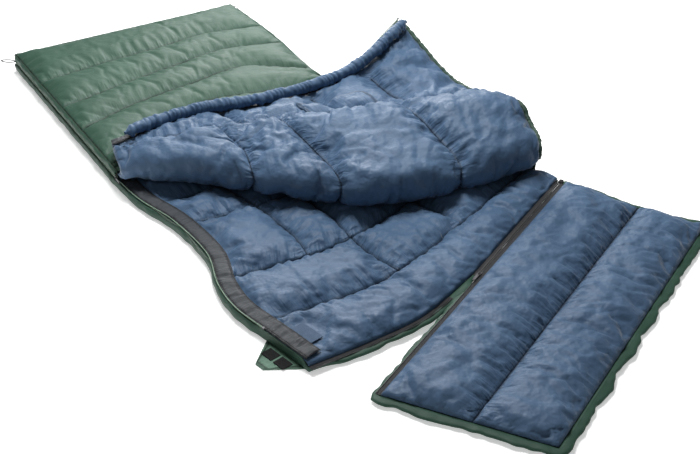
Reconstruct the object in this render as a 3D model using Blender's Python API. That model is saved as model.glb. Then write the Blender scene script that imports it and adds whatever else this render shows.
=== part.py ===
"""Rectangular sleeping bag opened out as a quilt, with a zip-on hood panel.

Metres, +Z up. The foot is at +Y, the zip side at -X, and the origin is under the middle of the body,
on the floor. Each quilted layer is a shell, a fill and a lining over one shared middle surface.
"""
import math

import bmesh
import bpy
from mathutils import Matrix, Vector

# Overall sizes
BODY_WIDTH = 0.80
BODY_LENGTH = 1.70
FLAP_HEIGHT = 0.255       # lifted corner of the flap, at the middle of its thickness
HOOD_DEPTH = 0.333        # from the hood's zip to its outer edge
HOOD_SKEW = 0.052         # how far the hood's outer edge is shifted along its zip

# Quilted layers
LAYER = 0.024             # loft of one layer, shell to lining
SKIN = 0.001              # stand-in thickness of one fabric
GAP = 0.0003              # clearance between pieces that touch
RIM_GAP = 0.0009          # clearance of what is sewn along a curved rim
CAVITY = 0.012            # room between the two layers of the foot section
HEAD_RISE = 0.040         # how far the bunched far corner of the head stands up
RISE_REACH = 0.26         # how far that lift spreads from the hood's zip
TURN_INNER_NEAR = 0.008   # bend radius inside the crease's turn, at the zip
TURN_INNER_FAR = 0.016    # and over the far part of the crease
TURN_INNER_RUN = 0.014    # length of the turn, inside its fold
TURN_SKEW = 0.6           # how far the turn leans towards the far side
TURN_END_SHARE = 0.8      # of the turn's run, at the end of the turn
FAR_INSET = 0.005         # top layer's set-back from the far side's fold

# Zips
COIL_RADIUS = 0.0012
COIL_SPACING = 0.0040     # between the middles of the two coils
TAPE = 0.0008
TAPE_WIDTH = 0.020
HOOD_TAPE_WIDTH = 0.0072
CORNER_RADIUS = 0.010     # of the main zip at the foot corner
CORNER_EASE = 0.35        # of that radius, by which the corner's arc is moved outwards
CORNER_STEPS = 4
SLIDER_LENGTH = 0.014
SLIDER_HALF_WIDTH = 0.0045
SLIDER_PLATE = 0.0010
SLIDER_CLEARANCE = 0.0004
SLIDER_LIP = 0.0008
POST_HALF = 0.0005
BAIL_HALF_SPAN = 0.0035
BAIL_BAR = 0.0010
BAIL_WIDTH = 0.0012
BAIL_ROOM = 0.0020        # height inside the bail
PULL_LENGTH = 0.028
PULL_HALF_WIDTH = 0.0032
PULL_THICKNESS = 0.0010
PULL_EYE = 0.0043
PULL_EYE_HALF_WIDTH = 0.0017
PULL_BAR = 0.0010
STOP_LENGTH = 0.006
STOP_SIZE = 0.0034
BOX_LENGTH = 0.014
BOX_HEIGHT = 0.0050
FOOT_SLIDER_SETBACK = 0.050    # from the foot corner
SIDE_SLIDER_SETBACK = 0.0084   # from the head end of the closed chain

# Sewn-on pieces
FACING_WIDTH = 0.038
FACING_INSET = 0.002
DRAFT_TUBE_RADIUS = 0.014
DRAFT_TUBE_ROOM = 0.0026  # between the flap's lining and the tube, where the flap is flat
BINDING_RADIUS = 0.0035
TAB_LENGTH = 0.115
TAB_REACH = 0.060
TAB_THICKNESS = 0.002
TAB_CLEARANCE = 0.0006
TAB_TIP_FAR = 0.3         # ends of the tab's tip, as shares of half its length
TAB_TIP_NEAR = -0.1
PATCH_SIZE = 0.030
PATCH_WIDTH = 0.024
PATCH_PITCH = 0.0363      # between the middles of the two hook patches
PATCH_REACH = 0.0216      # from the fold to the middle of a hook patch
PATCH_THICKNESS = 0.0012
LOOP_LENGTH = 0.046
LOOP_HALF_WIDTH = 0.009
LOOP_CORD = 0.0016
LOOP_POINTS = 12
HINGE_GAP = 0.0018        # split between the top layer and the flap

# Outline points, as shares of the body's half width and half length
FOOT_NEAR = (-0.975, 1.035)
FOOT_FAR = (0.940, 1.062)
ZIP_SPLIT = (-1.071, 0.018)
OPEN_EDGE = [(-1.060, -0.120), (-1.000, -0.275), (-1.000, -0.465), (-1.085, -0.600),
             (-1.110, -0.710), (-1.075, -0.830), (-1.030, -0.972)]
FAR_EDGE = [(0.865, 0.660), (0.750, 0.300), (0.800, -0.100), (0.960, -0.500)]
HEAD_EDGE = [(-0.590, -0.981), (-0.315, -0.975)]
HOOD_NEAR = (-0.8825, -1.1235)
HOOD_FAR = (1.075, -0.739)
VEE_SHARE = 0.48          # where the closed stretch of the hood's zip begins, along its line

# Flap control lines, zip side to far side: plan shares, then height as a share of FLAP_HEIGHT
CREASE = [(-0.550, -0.259), (-0.025, -0.541), (0.500, -0.624), (0.975, -0.680)]
FRONT = [(-1.063, 0.033, 0.360), (-0.500, -0.165, 0.410), (0.013, -0.388, 0.463),
         (0.525, -0.518, 0.549), (1.063, -0.588, 0.608)]
VALLEY = [(-1.038, 0.071, 0.360), (-0.500, 0.018, 0.410), (0.025, -0.100, 0.463),
          (0.538, -0.200, 0.549), (1.075, -0.259, 0.608)]
FLAP_EDGE = [(-1.025, 0.092, 0.355), (-0.500, 0.118, 0.365), (0.025, 0.035, 0.439),
             (0.525, -0.024, 0.627), (1.038, 0.012, 1.000)]
RIDGE_NEAR = (-1.050, 0.053, 0.418)
RIDGE_FAR = (1.075, -0.512, 0.784)

# Rows and columns of the layer meshes
COLUMNS = [0, 0.10, 0.21, 0.32, 0.42, 0.52, 0.62, 0.72, 0.82, 0.91, 1]
VEE_COLUMN = 0.52
SPLIT_ROW = 0.5035
ZIP_END_ROW = 0.92
BODY_ROWS = [0, 0.2, 0.4, SPLIT_ROW, 0.6, 0.665, 0.735, 0.8, 0.865, ZIP_END_ROW, 1]
FOLD_END_ROW = 0.8
TOP_ROWS = [0, 0.2, 0.4, 0.5, 0.6, 0.8, 1, 1.5, 2, 2.5, 3, 3.5, 4, 4.5, 5]
RIDGE_ROW = 5
TOP_BINDING_START = 2.5   # row where the turned-back top layer's binding begins
FACING_ROW = 6.6
FLAP_ROWS = [RIDGE_ROW, 5.5, 6, FACING_ROW, 7]
EDGE_ROW = 7
POCKET_COLUMNS = [0.52, 0.62, 0.72]
POCKET_ROWS = [5.5, 6]
HOOD_COLUMNS = [0, 0.16, 0.32, VEE_SHARE, 0.61, 0.74, 0.87, 1]
HOOD_ROWS = [0, 0.33, 0.67, 1]

TURN_RUN = LAYER / 2 + TURN_INNER_RUN
TURN_RADIUS_NEAR = LAYER / 2 + TURN_INNER_NEAR
TURN_RADIUS_FAR = LAYER / 2 + TURN_INNER_FAR
BOTTOM_MIDDLE = LAYER / 2
TOP_MIDDLE = LAYER + CAVITY + LAYER / 2
ZIP_HEIGHT = LAYER + CAVITY / 2
UP = Vector((0, 0, 1))

FINISHES = {
    "shell": ((0.10, 0.20, 0.15, 1), 0.75, 0),
    "lining": ((0.07, 0.12, 0.22, 1), 0.70, 0),
    "fill": ((0.80, 0.80, 0.78, 1), 0.95, 0),
    "facing": ((0.05, 0.05, 0.06, 1), 0.85, 0),
    "zip_tape": ((0.02, 0.02, 0.02, 1), 0.85, 0),
    "zip_coil": ((0.03, 0.03, 0.03, 1), 0.45, 0),
    "zip_metal": ((0.08, 0.08, 0.08, 1), 0.40, 1),
    "hook_tape": ((0.02, 0.02, 0.02, 1), 0.95, 0),
    "webbing": ((0.03, 0.03, 0.03, 1), 0.80, 0),
}


def clear_scene():
    for old in list(bpy.data.objects):
        bpy.data.objects.remove(old, do_unlink=True)


def new_collection(name):
    collection = bpy.data.collections.new(name)
    bpy.context.scene.collection.children.link(collection)
    return collection


clear_scene()
PARTS = new_collection("sleeping_bag_quilt")
CUTTERS = new_collection("joined_pieces")


def finish(slot):
    """The material of a slot, made the first time it is asked for."""
    if slot in bpy.data.materials:
        return bpy.data.materials[slot]
    colour, roughness, metallic = FINISHES[slot]
    material = bpy.data.materials.new(slot)
    material.use_nodes = True
    shader = material.node_tree.nodes["Principled BSDF"]
    shader.inputs["Base Color"].default_value = colour
    shader.inputs["Roughness"].default_value = roughness
    shader.inputs["Metallic"].default_value = metallic
    return material


def add_object(name, data, slot, collection=PARTS):
    piece = bpy.data.objects.new(name, data)
    data.materials.clear()
    data.materials.append(finish(slot))
    collection.objects.link(piece)
    return piece


def hang_on_axis(name, point, pieces):
    """Parents pieces to an empty that stands on their joint's axis."""
    pivot = bpy.data.objects.new(name, None)
    pivot.location = point
    PARTS.objects.link(pivot)
    for piece in pieces:
        piece.parent = pivot
        piece.matrix_parent_inverse = Matrix.Translation(point).inverted()
    return pivot


# ---------------------------------------------------------------- curves and surfaces

def plan(share):
    return Vector((share[0] * BODY_WIDTH / 2, share[1] * BODY_LENGTH / 2, 0))


def raised(share):
    return plan(share) + UP * share[2] * FLAP_HEIGHT


def between(a, b, c, d, t):
    """The smooth curve from b to c that heads for a behind it and d ahead of it."""
    bend = t * t * (2 * a - 5 * b + 4 * c - d) + t ** 3 * (3 * b - a - 3 * c + d)
    return 0.5 * (2 * b + t * (c - a) + bend)


def spline(points, share):
    """A smooth curve through evenly numbered points."""
    last = len(points) - 1
    place = min(max(share, 0), 1) * last
    index = min(int(place), last - 1)
    b = points[index]
    c = points[index + 1]
    a = points[index - 1] if index else 2 * b - c
    d = points[index + 2] if index + 2 <= last else 2 * c - b
    return between(a, b, c, d, place - index)


def smooth_step(value):
    value = min(max(value, 0), 1)
    return value * value * (3 - 2 * value)


HOOD_LINE_START = plan(HOOD_NEAR) + UP * BOTTOM_MIDDLE
HOOD_LINE_END = plan(HOOD_FAR) + UP * (BOTTOM_MIDDLE + HEAD_RISE)
HOOD_ALONG = (HOOD_LINE_END - HOOD_LINE_START).normalized()
HOOD_ACROSS = UP.cross(HOOD_ALONG).normalized()      # from the hood towards the body
HOOD_UP = HOOD_ALONG.cross(HOOD_ACROSS)
HOOD_LINE_LENGTH = (HOOD_LINE_END - HOOD_LINE_START).length
RIM_OFFSET = COIL_SPACING / 2 + COIL_RADIUS + 2 * GAP + HOOD_TAPE_WIDTH


def hood_line(share):
    return HOOD_LINE_START.lerp(HOOD_LINE_END, share)


def head_rise(point):
    """Lift of the floor under the layers, highest at the far end of the hood's zip."""
    flat_along = Vector((HOOD_ALONG.x, HOOD_ALONG.y, 0))
    offset = Vector((point.x, point.y, 0)) - plan(HOOD_NEAR)
    share = offset.dot(flat_along) / flat_along.length_squared / HOOD_LINE_LENGTH
    share = min(max(share, 0), 1)
    distance = abs(offset.dot(HOOD_ACROSS)) - RIM_OFFSET
    return HEAD_RISE * share * smooth_step(share / VEE_SHARE) * (1 - smooth_step(distance / RISE_REACH))


def foot_edge(u):
    return plan(FOOT_NEAR).lerp(plan(FOOT_FAR), u)


def near_edge(v):
    if v <= SPLIT_ROW:
        return plan(FOOT_NEAR).lerp(plan(ZIP_SPLIT), v / SPLIT_ROW)
    points = [plan(ZIP_SPLIT)] + [plan(share) for share in OPEN_EDGE]
    return spline(points, (v - SPLIT_ROW) / (1 - SPLIT_ROW))


def flat(point):
    return Vector((point.x, point.y, 0))


VEE_POINT = flat(hood_line(VEE_SHARE)) + HOOD_ACROSS * RIM_OFFSET
FAR_HEAD_POINT = flat(HOOD_LINE_END) + HOOD_ACROSS * RIM_OFFSET


def far_edge(v):
    points = [plan(FOOT_FAR)] + [plan(share) for share in FAR_EDGE] + [FAR_HEAD_POINT]
    return spline(points, v)


def head_edge(u):
    if u >= VEE_COLUMN:
        return VEE_POINT.lerp(FAR_HEAD_POINT, (u - VEE_COLUMN) / (1 - VEE_COLUMN))
    points = [near_edge(1)] + [plan(share) for share in HEAD_EDGE] + [VEE_POINT]
    return spline(points, u / VEE_COLUMN)


def patch(u, v, near, far, foot, head):
    """A surface stretched between four edge curves."""
    sides = near(v) * (1 - u) + far(v) * u + foot(u) * (1 - v) + head(u) * v
    corners = (near(0) * (1 - u) + far(0) * u) * (1 - v) + (near(1) * (1 - u) + far(1) * u) * v
    return sides - corners


def bottom_surface(u, v):
    point = patch(u, v, near_edge, far_edge, foot_edge, head_edge)
    return point + UP * (BOTTOM_MIDDLE + head_rise(point))


def crease(u):
    first = plan(ZIP_SPLIT) - Vector((0, TURN_RUN, 0))
    return spline([first] + [plan(share) for share in CREASE], u)


def turn_back(u):
    return Vector((TURN_SKEW * u, 1, 0)).normalized() * TURN_RUN


def turn_radius(u):
    return TURN_RADIUS_NEAR + (TURN_RADIUS_FAR - TURN_RADIUS_NEAR) * smooth_step(2 * u)


def turn_start(u):
    return crease(u) + turn_back(u)


def top_near_edge(v):
    return plan(FOOT_NEAR).lerp(turn_start(0), v)


def top_far_edge(v):
    inset = Vector((FAR_INSET, 0, 0))
    points = [plan(FOOT_FAR)] + [plan(share) for share in FAR_EDGE]
    return spline([point - inset for point in points] + [turn_start(1)], v)


def top_foot_edge(u):
    return top_near_edge(0).lerp(top_far_edge(0), u)


def ridge(u):
    """The hinge line of the flap, on its lining."""
    return raised(RIDGE_NEAR).lerp(raised(RIDGE_FAR), u)


def flap_line(number, u):
    """Row 1 starts the turn, 3 ends it, 5 is the ridge and 7 the flap's zip edge."""
    low = UP * (TOP_MIDDLE + head_rise(turn_start(u)))
    if number <= 1:
        return turn_start(u) + low + turn_back(u) * (1 - number)
    if number == 2:
        return crease(u) + low + UP * turn_radius(u)
    if number == 3:
        return crease(u) + turn_back(u) * TURN_END_SHARE + low + UP * 2 * turn_radius(u)
    if number == RIDGE_ROW:
        return ridge(u) - UP * LAYER / 2
    points = {4: FRONT, 6: VALLEY, 7: FLAP_EDGE}[number]
    return spline([raised(share) for share in points], u)


def top_surface(u, v):
    """The top layer: flat from the foot to row 1, then turned back over itself as the flap."""
    if v < 1:
        point = patch(u, max(v, 0), top_near_edge, top_far_edge, top_foot_edge, turn_start)
        return point + UP * (TOP_MIDDLE + head_rise(point))
    if v > EDGE_ROW:
        return 2 * flap_line(EDGE_ROW, u) - top_surface(u, 2 * EDGE_ROW - v)
    index = min(int(v), EDGE_ROW - 1)
    a = flap_line(index - 1, u)
    b = flap_line(index, u)
    c = flap_line(index + 1, u)
    d = flap_line(index + 2, u) if index + 2 <= EDGE_ROW else 2 * c - b
    return between(a, b, c, d, v - index)


def hood_surface(u, v):
    """The hood panel, from its zip line out to its free edge on the floor."""
    edge = hood_line(u) - HOOD_ACROSS * (RIM_OFFSET + GAP)
    reach = -HOOD_ACROSS * (HOOD_DEPTH - RIM_OFFSET) + Vector((HOOD_ALONG.x, HOOD_ALONG.y, 0)) * HOOD_SKEW
    height = BOTTOM_MIDDLE + (edge.z - BOTTOM_MIDDLE) * (1 - v) ** 2
    point = edge + reach * v
    return Vector((point.x, point.y, height))


def normal_at(surface, u, v):
    """The unit normal that points up where the layer lies flat."""
    step = 0.002
    low_u = max(u - step, 0)
    high_u = min(u + step, 1)
    low_v = max(v - step, 0)
    along_u = surface(high_u, v) - surface(low_u, v)
    along_v = surface(u, v + step) - surface(u, low_v)
    return along_v.cross(along_u).normalized()


# ---------------------------------------------------------------- solids

def slab(name, slot, columns, rows, place):
    """A closed grid solid: place(column, row, side) puts each corner, side 0 below and 1 above."""
    mesh = bpy.data.meshes.new(name)
    bm = bmesh.new()
    bmesh.ops.create_grid(bm, x_segments=len(columns) - 1, y_segments=len(rows) - 1, size=1)
    bottom = list(bm.faces)
    top = bmesh.ops.extrude_face_region(bm, geom=bottom, use_keep_orig=True)["geom"]
    top_corners = {part for part in top if isinstance(part, bmesh.types.BMVert)}
    for corner in bm.verts:
        column = round((corner.co.x + 1) / 2 * (len(columns) - 1))
        row = round((corner.co.y + 1) / 2 * (len(rows) - 1))
        corner.co = place(columns[column], rows[row], 1 if corner in top_corners else 0)
    bmesh.ops.recalc_face_normals(bm, faces=bm.faces)
    bm.to_mesh(mesh)
    bm.free()
    return add_object(name, mesh, slot)


def sheet(name, slot, surface, columns, rows, low, high, shifts=None):
    """A sheet between two distances from a surface; shifts moves whole rows sideways."""
    def place(u, v, side):
        point = surface(u, v) + normal_at(surface, u, v) * (high if side else low)
        return point + (shifts or {}).get(v, Vector())
    return slab(name, slot, columns, rows, place)


def quilt_layer(prefix, surface, columns, rows, shell_side, shifts=None):
    """Shell, fill and lining; shell_side is 1 where the shell lies on the normal's side."""
    outer = LAYER / 2
    inner = outer - SKIN
    spans = {"shell": (inner, outer), "fill": (GAP - inner, inner - GAP), "lining": (-outer, -inner)}
    layers = []
    for slot, (low, high) in spans.items():
        low, high = sorted((low * shell_side, high * shell_side))
        layers.append(sheet(prefix + "_" + slot, slot, surface, columns, rows, low, high, shifts))
    return layers


def tube(name, slot, points, radius, closed=False):
    """A round cord or coil through the given points."""
    curve = bpy.data.curves.new(name, "CURVE")
    curve.dimensions = "3D"
    curve.bevel_depth = radius
    curve.bevel_resolution = 1
    curve.use_fill_caps = not closed
    path = curve.splines.new("POLY")
    path.points.add(len(points) - 1)
    path.use_cyclic_u = closed
    for knot, point in zip(path.points, points):
        knot.co = (*point, 1)
    return add_object(name, curve, slot)


def cut_plate(name, slot, outlines, thickness, frame, collection=PARTS):
    """A flat plate from closed outlines in the frame's XY plane, the first one outside the rest."""
    curve = bpy.data.curves.new(name, "CURVE")
    curve.dimensions = "2D"
    curve.fill_mode = "BOTH"
    curve.extrude = thickness / 2
    for outline in outlines:
        path = curve.splines.new("POLY")
        path.points.add(len(outline) - 1)
        path.use_cyclic_u = True
        for knot, point in zip(path.points, outline):
            knot.co = (point[0], point[1], 0, 1)
    flat_piece = bpy.data.objects.new(name + "_outline", curve)
    PARTS.objects.link(flat_piece)
    graph = bpy.context.evaluated_depsgraph_get()
    mesh = bpy.data.meshes.new_from_object(flat_piece.evaluated_get(graph))
    bpy.data.objects.remove(flat_piece, do_unlink=True)
    bm = bmesh.new()
    bm.from_mesh(mesh)
    bmesh.ops.remove_doubles(bm, verts=bm.verts, dist=0.00001)
    bmesh.ops.recalc_face_normals(bm, faces=bm.faces)
    bm.to_mesh(mesh)
    bm.free()
    mesh.transform(frame)
    return add_object(name, mesh, slot, collection)


def box(name, slot, size, frame):
    mesh = bpy.data.meshes.new(name)
    bm = bmesh.new()
    bmesh.ops.create_cube(bm, size=1, matrix=frame @ Matrix.Diagonal((*size, 1)))
    bm.to_mesh(mesh)
    bm.free()
    return add_object(name, mesh, slot)


def axes_at(point, along, across):
    """A frame with X along, Y across and Z square to both."""
    x = along.normalized()
    z = x.cross(across).normalized()
    y = z.cross(x)
    frame = Matrix((x, y, z)).transposed().to_4x4()
    frame.translation = point
    return frame


# ---------------------------------------------------------------- zip pieces

def rectangle(x_low, x_high, y_low, y_high):
    return [(x_low, y_low), (x_high, y_low), (x_high, y_high), (x_low, y_high)]


PLATE_INNER = COIL_RADIUS + SLIDER_CLEARANCE
PLATE_OUTER = PLATE_INNER + SLIDER_PLATE
TAPE_SLOT = TAPE / 2 + SLIDER_CLEARANCE
PULL_AXIS_HEIGHT = PLATE_OUTER + BAIL_ROOM / 2


def slider(name, frame):
    """Two plates on a post, lipped round the tapes, with a bail on the outer plate."""
    quarter = [(POST_HALF, 0), (POST_HALF, PLATE_INNER), (SLIDER_HALF_WIDTH - SLIDER_LIP, PLATE_INNER),
               (SLIDER_HALF_WIDTH - SLIDER_LIP, TAPE_SLOT), (SLIDER_HALF_WIDTH, TAPE_SLOT),
               (SLIDER_HALF_WIDTH, PLATE_OUTER)]
    right = [(y, -z) for y, z in reversed(quarter[1:])] + quarter[1:]
    outline = right + [(-y, -z) for y, z in right]
    along_is_z = Matrix(((0, 0, 1, 0), (1, 0, 0, 0), (0, 1, 0, 0), (0, 0, 0, 1)))
    body = cut_plate(name, "zip_metal", [outline], SLIDER_LENGTH, frame @ along_is_z)
    base = PLATE_OUTER - SLIDER_PLATE / 2
    top = PLATE_OUTER + BAIL_ROOM
    legs = BAIL_HALF_SPAN - BAIL_BAR
    arch = [(-BAIL_HALF_SPAN, base), (-legs, base), (-legs, top), (legs, top), (legs, base),
            (BAIL_HALF_SPAN, base), (BAIL_HALF_SPAN, top + BAIL_BAR), (-BAIL_HALF_SPAN, top + BAIL_BAR)]
    upright = Matrix(((1, 0, 0, 0), (0, 0, -1, 0), (0, 1, 0, 0), (0, 0, 0, 1)))
    bail = cut_plate(name + "_bail", "zip_metal", [arch], BAIL_WIDTH, frame @ upright, CUTTERS)
    bail.hide_render = True
    bail.display_type = "WIRE"
    union = body.modifiers.new("bail", "BOOLEAN")
    union.operation = "UNION"
    union.object = bail
    return body


def pull(name, frame):
    """A flat tab whose end bar lies under the bail, pointing away from the closed chain."""
    bar = PULL_BAR / 2
    tip = -PULL_LENGTH
    side = PULL_HALF_WIDTH
    outer = [(bar, -side), (bar, side), (tip + side / 2, side), (tip, side / 2), (tip, -side / 2),
             (tip + side / 2, -side)]
    eye = rectangle(-bar - PULL_EYE, -bar, -PULL_EYE_HALF_WIDTH, PULL_EYE_HALF_WIDTH)
    lifted = frame @ Matrix.Translation((0, 0, PULL_AXIS_HEIGHT))
    tab = cut_plate(name, "zip_metal", [outer, eye], PULL_THICKNESS, lifted)
    hang_on_axis(name + "_axis", lifted.translation, [tab])
    return tab


def outward_normals(path):
    """Flat normals of a path, on its left."""
    normals = []
    for index in range(len(path)):
        before = path[max(index - 1, 0)]
        after = path[min(index + 1, len(path) - 1)]
        heading = flat(after - before).normalized()
        normals.append(UP.cross(heading))
    return normals


def ribbon(name, slot, path, normals, inner, outer, low, high):
    """An upright strip beside a path, between two distances from it and two heights."""
    def place(index, row, side):
        point = path[index] + normals[index] * (outer if side else inner)
        return point + UP * (high if row else low)
    return slab(name, slot, list(range(len(path))), [0, 1], place)


# ---------------------------------------------------------------- body layers

quilt_layer("bottom", bottom_surface, COLUMNS, BODY_ROWS, -1)
BACK = UP.cross((raised(RIDGE_FAR) - raised(RIDGE_NEAR)).normalized()).normalized()
quilt_layer("top", top_surface, COLUMNS, TOP_ROWS, 1, {RIDGE_ROW: -BACK * HINGE_GAP / 2})
flap_shift = {RIDGE_ROW: BACK * HINGE_GAP / 2}
flap_pieces = quilt_layer("flap", top_surface, COLUMNS, FLAP_ROWS, 1, flap_shift)

fold_rows = [row for row in BODY_ROWS if row <= FOLD_END_ROW]
fold_path = [far_edge(row) for row in reversed(fold_rows)]
fold_path = [point + UP * head_rise(point) for point in fold_path]
ribbon("far_side_fold", "shell", fold_path, [-side for side in outward_normals(fold_path)],
       GAP * 2, GAP * 2 + SKIN, SKIN, 2 * LAYER + CAVITY - SKIN)

# ---------------------------------------------------------------- main zip, near side and foot end

SIDE_START = plan(ZIP_SPLIT)
SIDE_ALONG = (plan(FOOT_NEAR) - SIDE_START).normalized()
SIDE_OUT = UP.cross(SIDE_ALONG)
FOOT_ALONG = (plan(FOOT_FAR) - plan(FOOT_NEAR)).normalized()
FOOT_OUT = UP.cross(FOOT_ALONG)
TAPE_PLANE = GAP + TAPE / 2


def corner_points():
    """The main zip's way round the foot corner, as offsets already outside the layers."""
    turn = math.acos(SIDE_ALONG.dot(FOOT_ALONG))
    setback = CORNER_RADIUS * math.tan(turn / 2)
    centre = plan(FOOT_NEAR) - SIDE_ALONG * setback - SIDE_OUT * CORNER_RADIUS
    centre = centre + (SIDE_OUT + FOOT_OUT).normalized() * (CORNER_RADIUS * CORNER_EASE)
    arc = []
    for step in range(1, CORNER_STEPS):
        share = step / CORNER_STEPS
        side = (SIDE_OUT * (1 - share) + FOOT_OUT * share).normalized()
        arc.append((centre + side * CORNER_RADIUS, side))
    return arc


def zip_path(rows, with_foot):
    """Path and outward normals from the head end of the zip to its foot end."""
    edge = [near_edge(row) for row in rows]
    normals = outward_normals(edge + [plan(FOOT_NEAR)])[:len(edge)]
    normals = [SIDE_OUT if row <= SPLIT_ROW else side for row, side in zip(rows, normals)]
    if not with_foot:
        return edge, normals
    arc = corner_points()
    near_end = plan(FOOT_NEAR) - SIDE_ALONG * CORNER_RADIUS
    foot_start = plan(FOOT_NEAR) + FOOT_ALONG * CORNER_RADIUS
    foot_end = plan(FOOT_FAR) - FOOT_ALONG * CORNER_RADIUS
    path = edge + [near_end] + [point for point, side in arc] + [foot_start, foot_end]
    return path, normals + [SIDE_OUT] + [side for point, side in arc] + [FOOT_OUT, FOOT_OUT]


open_rows = [row for row in reversed(BODY_ROWS) if SPLIT_ROW <= row <= ZIP_END_ROW]
lower_path, lower_normals = zip_path(open_rows, True)
upper_path, upper_normals = zip_path([SPLIT_ROW], True)
half_chain = COIL_SPACING / 2
tape_edge = half_chain + COIL_RADIUS + GAP
ribbon("main_tape_lower", "zip_tape", lower_path, lower_normals, GAP, GAP + TAPE,
       ZIP_HEIGHT - tape_edge - TAPE_WIDTH, ZIP_HEIGHT - tape_edge)
ribbon("main_tape_upper", "zip_tape", upper_path, upper_normals, GAP, GAP + TAPE,
       ZIP_HEIGHT + tape_edge, ZIP_HEIGHT + tape_edge + TAPE_WIDTH)


def chain_points(path, normals, height):
    return [point + side * TAPE_PLANE + UP * height for point, side in zip(path, normals)]


tube("main_coil_lower", "zip_coil", chain_points(lower_path, lower_normals, ZIP_HEIGHT - half_chain),
     COIL_RADIUS)
tube("main_coil_upper", "zip_coil", chain_points(upper_path, upper_normals, ZIP_HEIGHT + half_chain),
     COIL_RADIUS)

foot_zip_end = chain_points([lower_path[-1]], [FOOT_OUT], ZIP_HEIGHT)[0]
stop_size = (STOP_LENGTH, COIL_SPACING + 2 * COIL_RADIUS, STOP_SIZE)
stop_at = foot_zip_end + FOOT_ALONG * (STOP_LENGTH / 2 + GAP)
box("main_stop_foot", "zip_metal", stop_size, axes_at(stop_at, FOOT_ALONG, UP))
head_heading = (lower_path[0] - lower_path[1]).normalized()
head_zip_end = chain_points([lower_path[0]], [lower_normals[0]], ZIP_HEIGHT - half_chain)[0]
head_stop_at = head_zip_end + head_heading * (STOP_LENGTH / 2 + GAP)
open_stop_size = (STOP_LENGTH, STOP_SIZE, STOP_SIZE)
box("main_stop_head", "zip_metal", open_stop_size, axes_at(head_stop_at, head_heading, UP))

side_slider_start = SIDE_START + SIDE_ALONG * SIDE_SLIDER_SETBACK
side_frame = axes_at(side_slider_start + SIDE_OUT * TAPE_PLANE + UP * ZIP_HEIGHT, SIDE_ALONG, -UP)
slider("side_slider", side_frame)
pull("side_pull", side_frame)
foot_slider_start = plan(FOOT_NEAR) + FOOT_ALONG * FOOT_SLIDER_SETBACK
foot_frame = axes_at(foot_slider_start + FOOT_OUT * TAPE_PLANE + UP * ZIP_HEIGHT, FOOT_ALONG, -UP)
slider("foot_slider", foot_frame)
pull("foot_pull", foot_frame)

# ---------------------------------------------------------------- facing, flap trim and pocket


def facing_place(index, row, side):
    inset = FACING_INSET + (FACING_WIDTH if row else 0)
    height = LAYER + GAP + (SKIN if side else 0)
    return lower_path[index] - lower_normals[index] * inset + UP * height


slab("facing_lower", "facing", list(range(len(open_rows))), [0, 1], facing_place)

lining_face = -LAYER / 2
flap_facing = sheet("flap_facing", "facing", top_surface, COLUMNS, [FACING_ROW, EDGE_ROW],
                    lining_face - GAP - SKIN, lining_face - GAP)
pocket = sheet("inner_pocket", "lining", top_surface, POCKET_COLUMNS, POCKET_ROWS,
               lining_face - GAP - 2 * SKIN, lining_face - GAP)


def edge_heading(u):
    return (top_surface(u, EDGE_ROW) - top_surface(u, EDGE_ROW - 0.1)).normalized()


def flap_tape_place(u, row, side):
    reach = RIM_GAP + (HOOD_TAPE_WIDTH if row else 0)
    lift = TAPE / 2 if side else -TAPE / 2
    return top_surface(u, EDGE_ROW) + edge_heading(u) * reach + normal_at(top_surface, u, EDGE_ROW) * lift


def flap_coil_point(u):
    return top_surface(u, EDGE_ROW) + edge_heading(u) * (RIM_GAP + HOOD_TAPE_WIDTH + GAP + COIL_RADIUS)


def draft_tube_point(u):
    rim = top_surface(u, FACING_ROW)
    inboard = edge_heading(u) * (DRAFT_TUBE_RADIUS + 2 * SKIN)
    lift = LAYER / 2 + DRAFT_TUBE_ROOM + DRAFT_TUBE_RADIUS
    return rim - inboard - normal_at(top_surface, u, FACING_ROW) * lift


def side_binding_point(v):
    """Beside the flap's head edge, at the last column."""
    outside = (top_surface(1, v) - top_surface(0.98, v)).normalized()
    return top_surface(1, v) + outside * (BINDING_RADIUS + RIM_GAP + GAP)


flap_tape = slab("flap_tape", "zip_tape", COLUMNS, [0, 1], flap_tape_place)
flap_coil = tube("flap_coil", "zip_coil", [flap_coil_point(u) for u in COLUMNS], COIL_RADIUS)
draft_tube = tube("draft_tube", "lining", [draft_tube_point(u) for u in COLUMNS[1:]], DRAFT_TUBE_RADIUS)
flap_binding_points = [side_binding_point(v) for v in FLAP_ROWS]
flap_binding_points[0] += flap_shift[RIDGE_ROW]
flap_binding = tube("flap_head_binding", "shell", flap_binding_points, BINDING_RADIUS)
top_binding_points = [side_binding_point(v) for v in TOP_ROWS if v >= TOP_BINDING_START]
top_binding_points[-1] -= flap_shift[RIDGE_ROW]
tube("top_head_binding", "shell", top_binding_points, BINDING_RADIUS)
coil_end = flap_coil_point(1)
coil_heading = (coil_end - flap_coil_point(COLUMNS[-2])).normalized()
flap_stop_at = coil_end + coil_heading * (STOP_LENGTH / 2 + GAP)
flap_stop = box("flap_stop", "zip_metal", open_stop_size, axes_at(flap_stop_at, coil_heading, UP))
flap_pieces += [flap_facing, pocket, flap_tape, flap_coil, draft_tube, flap_binding, flap_stop]
hang_on_axis("flap_axis", ridge(0.5), flap_pieces)

# ---------------------------------------------------------------- hood panel and its zip

hood_pieces = quilt_layer("hood", hood_surface, HOOD_COLUMNS, HOOD_ROWS, -1)


def hood_zip_point(share, across, up=0):
    return hood_line(share) + HOOD_ACROSS * across + HOOD_UP * up


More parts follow.
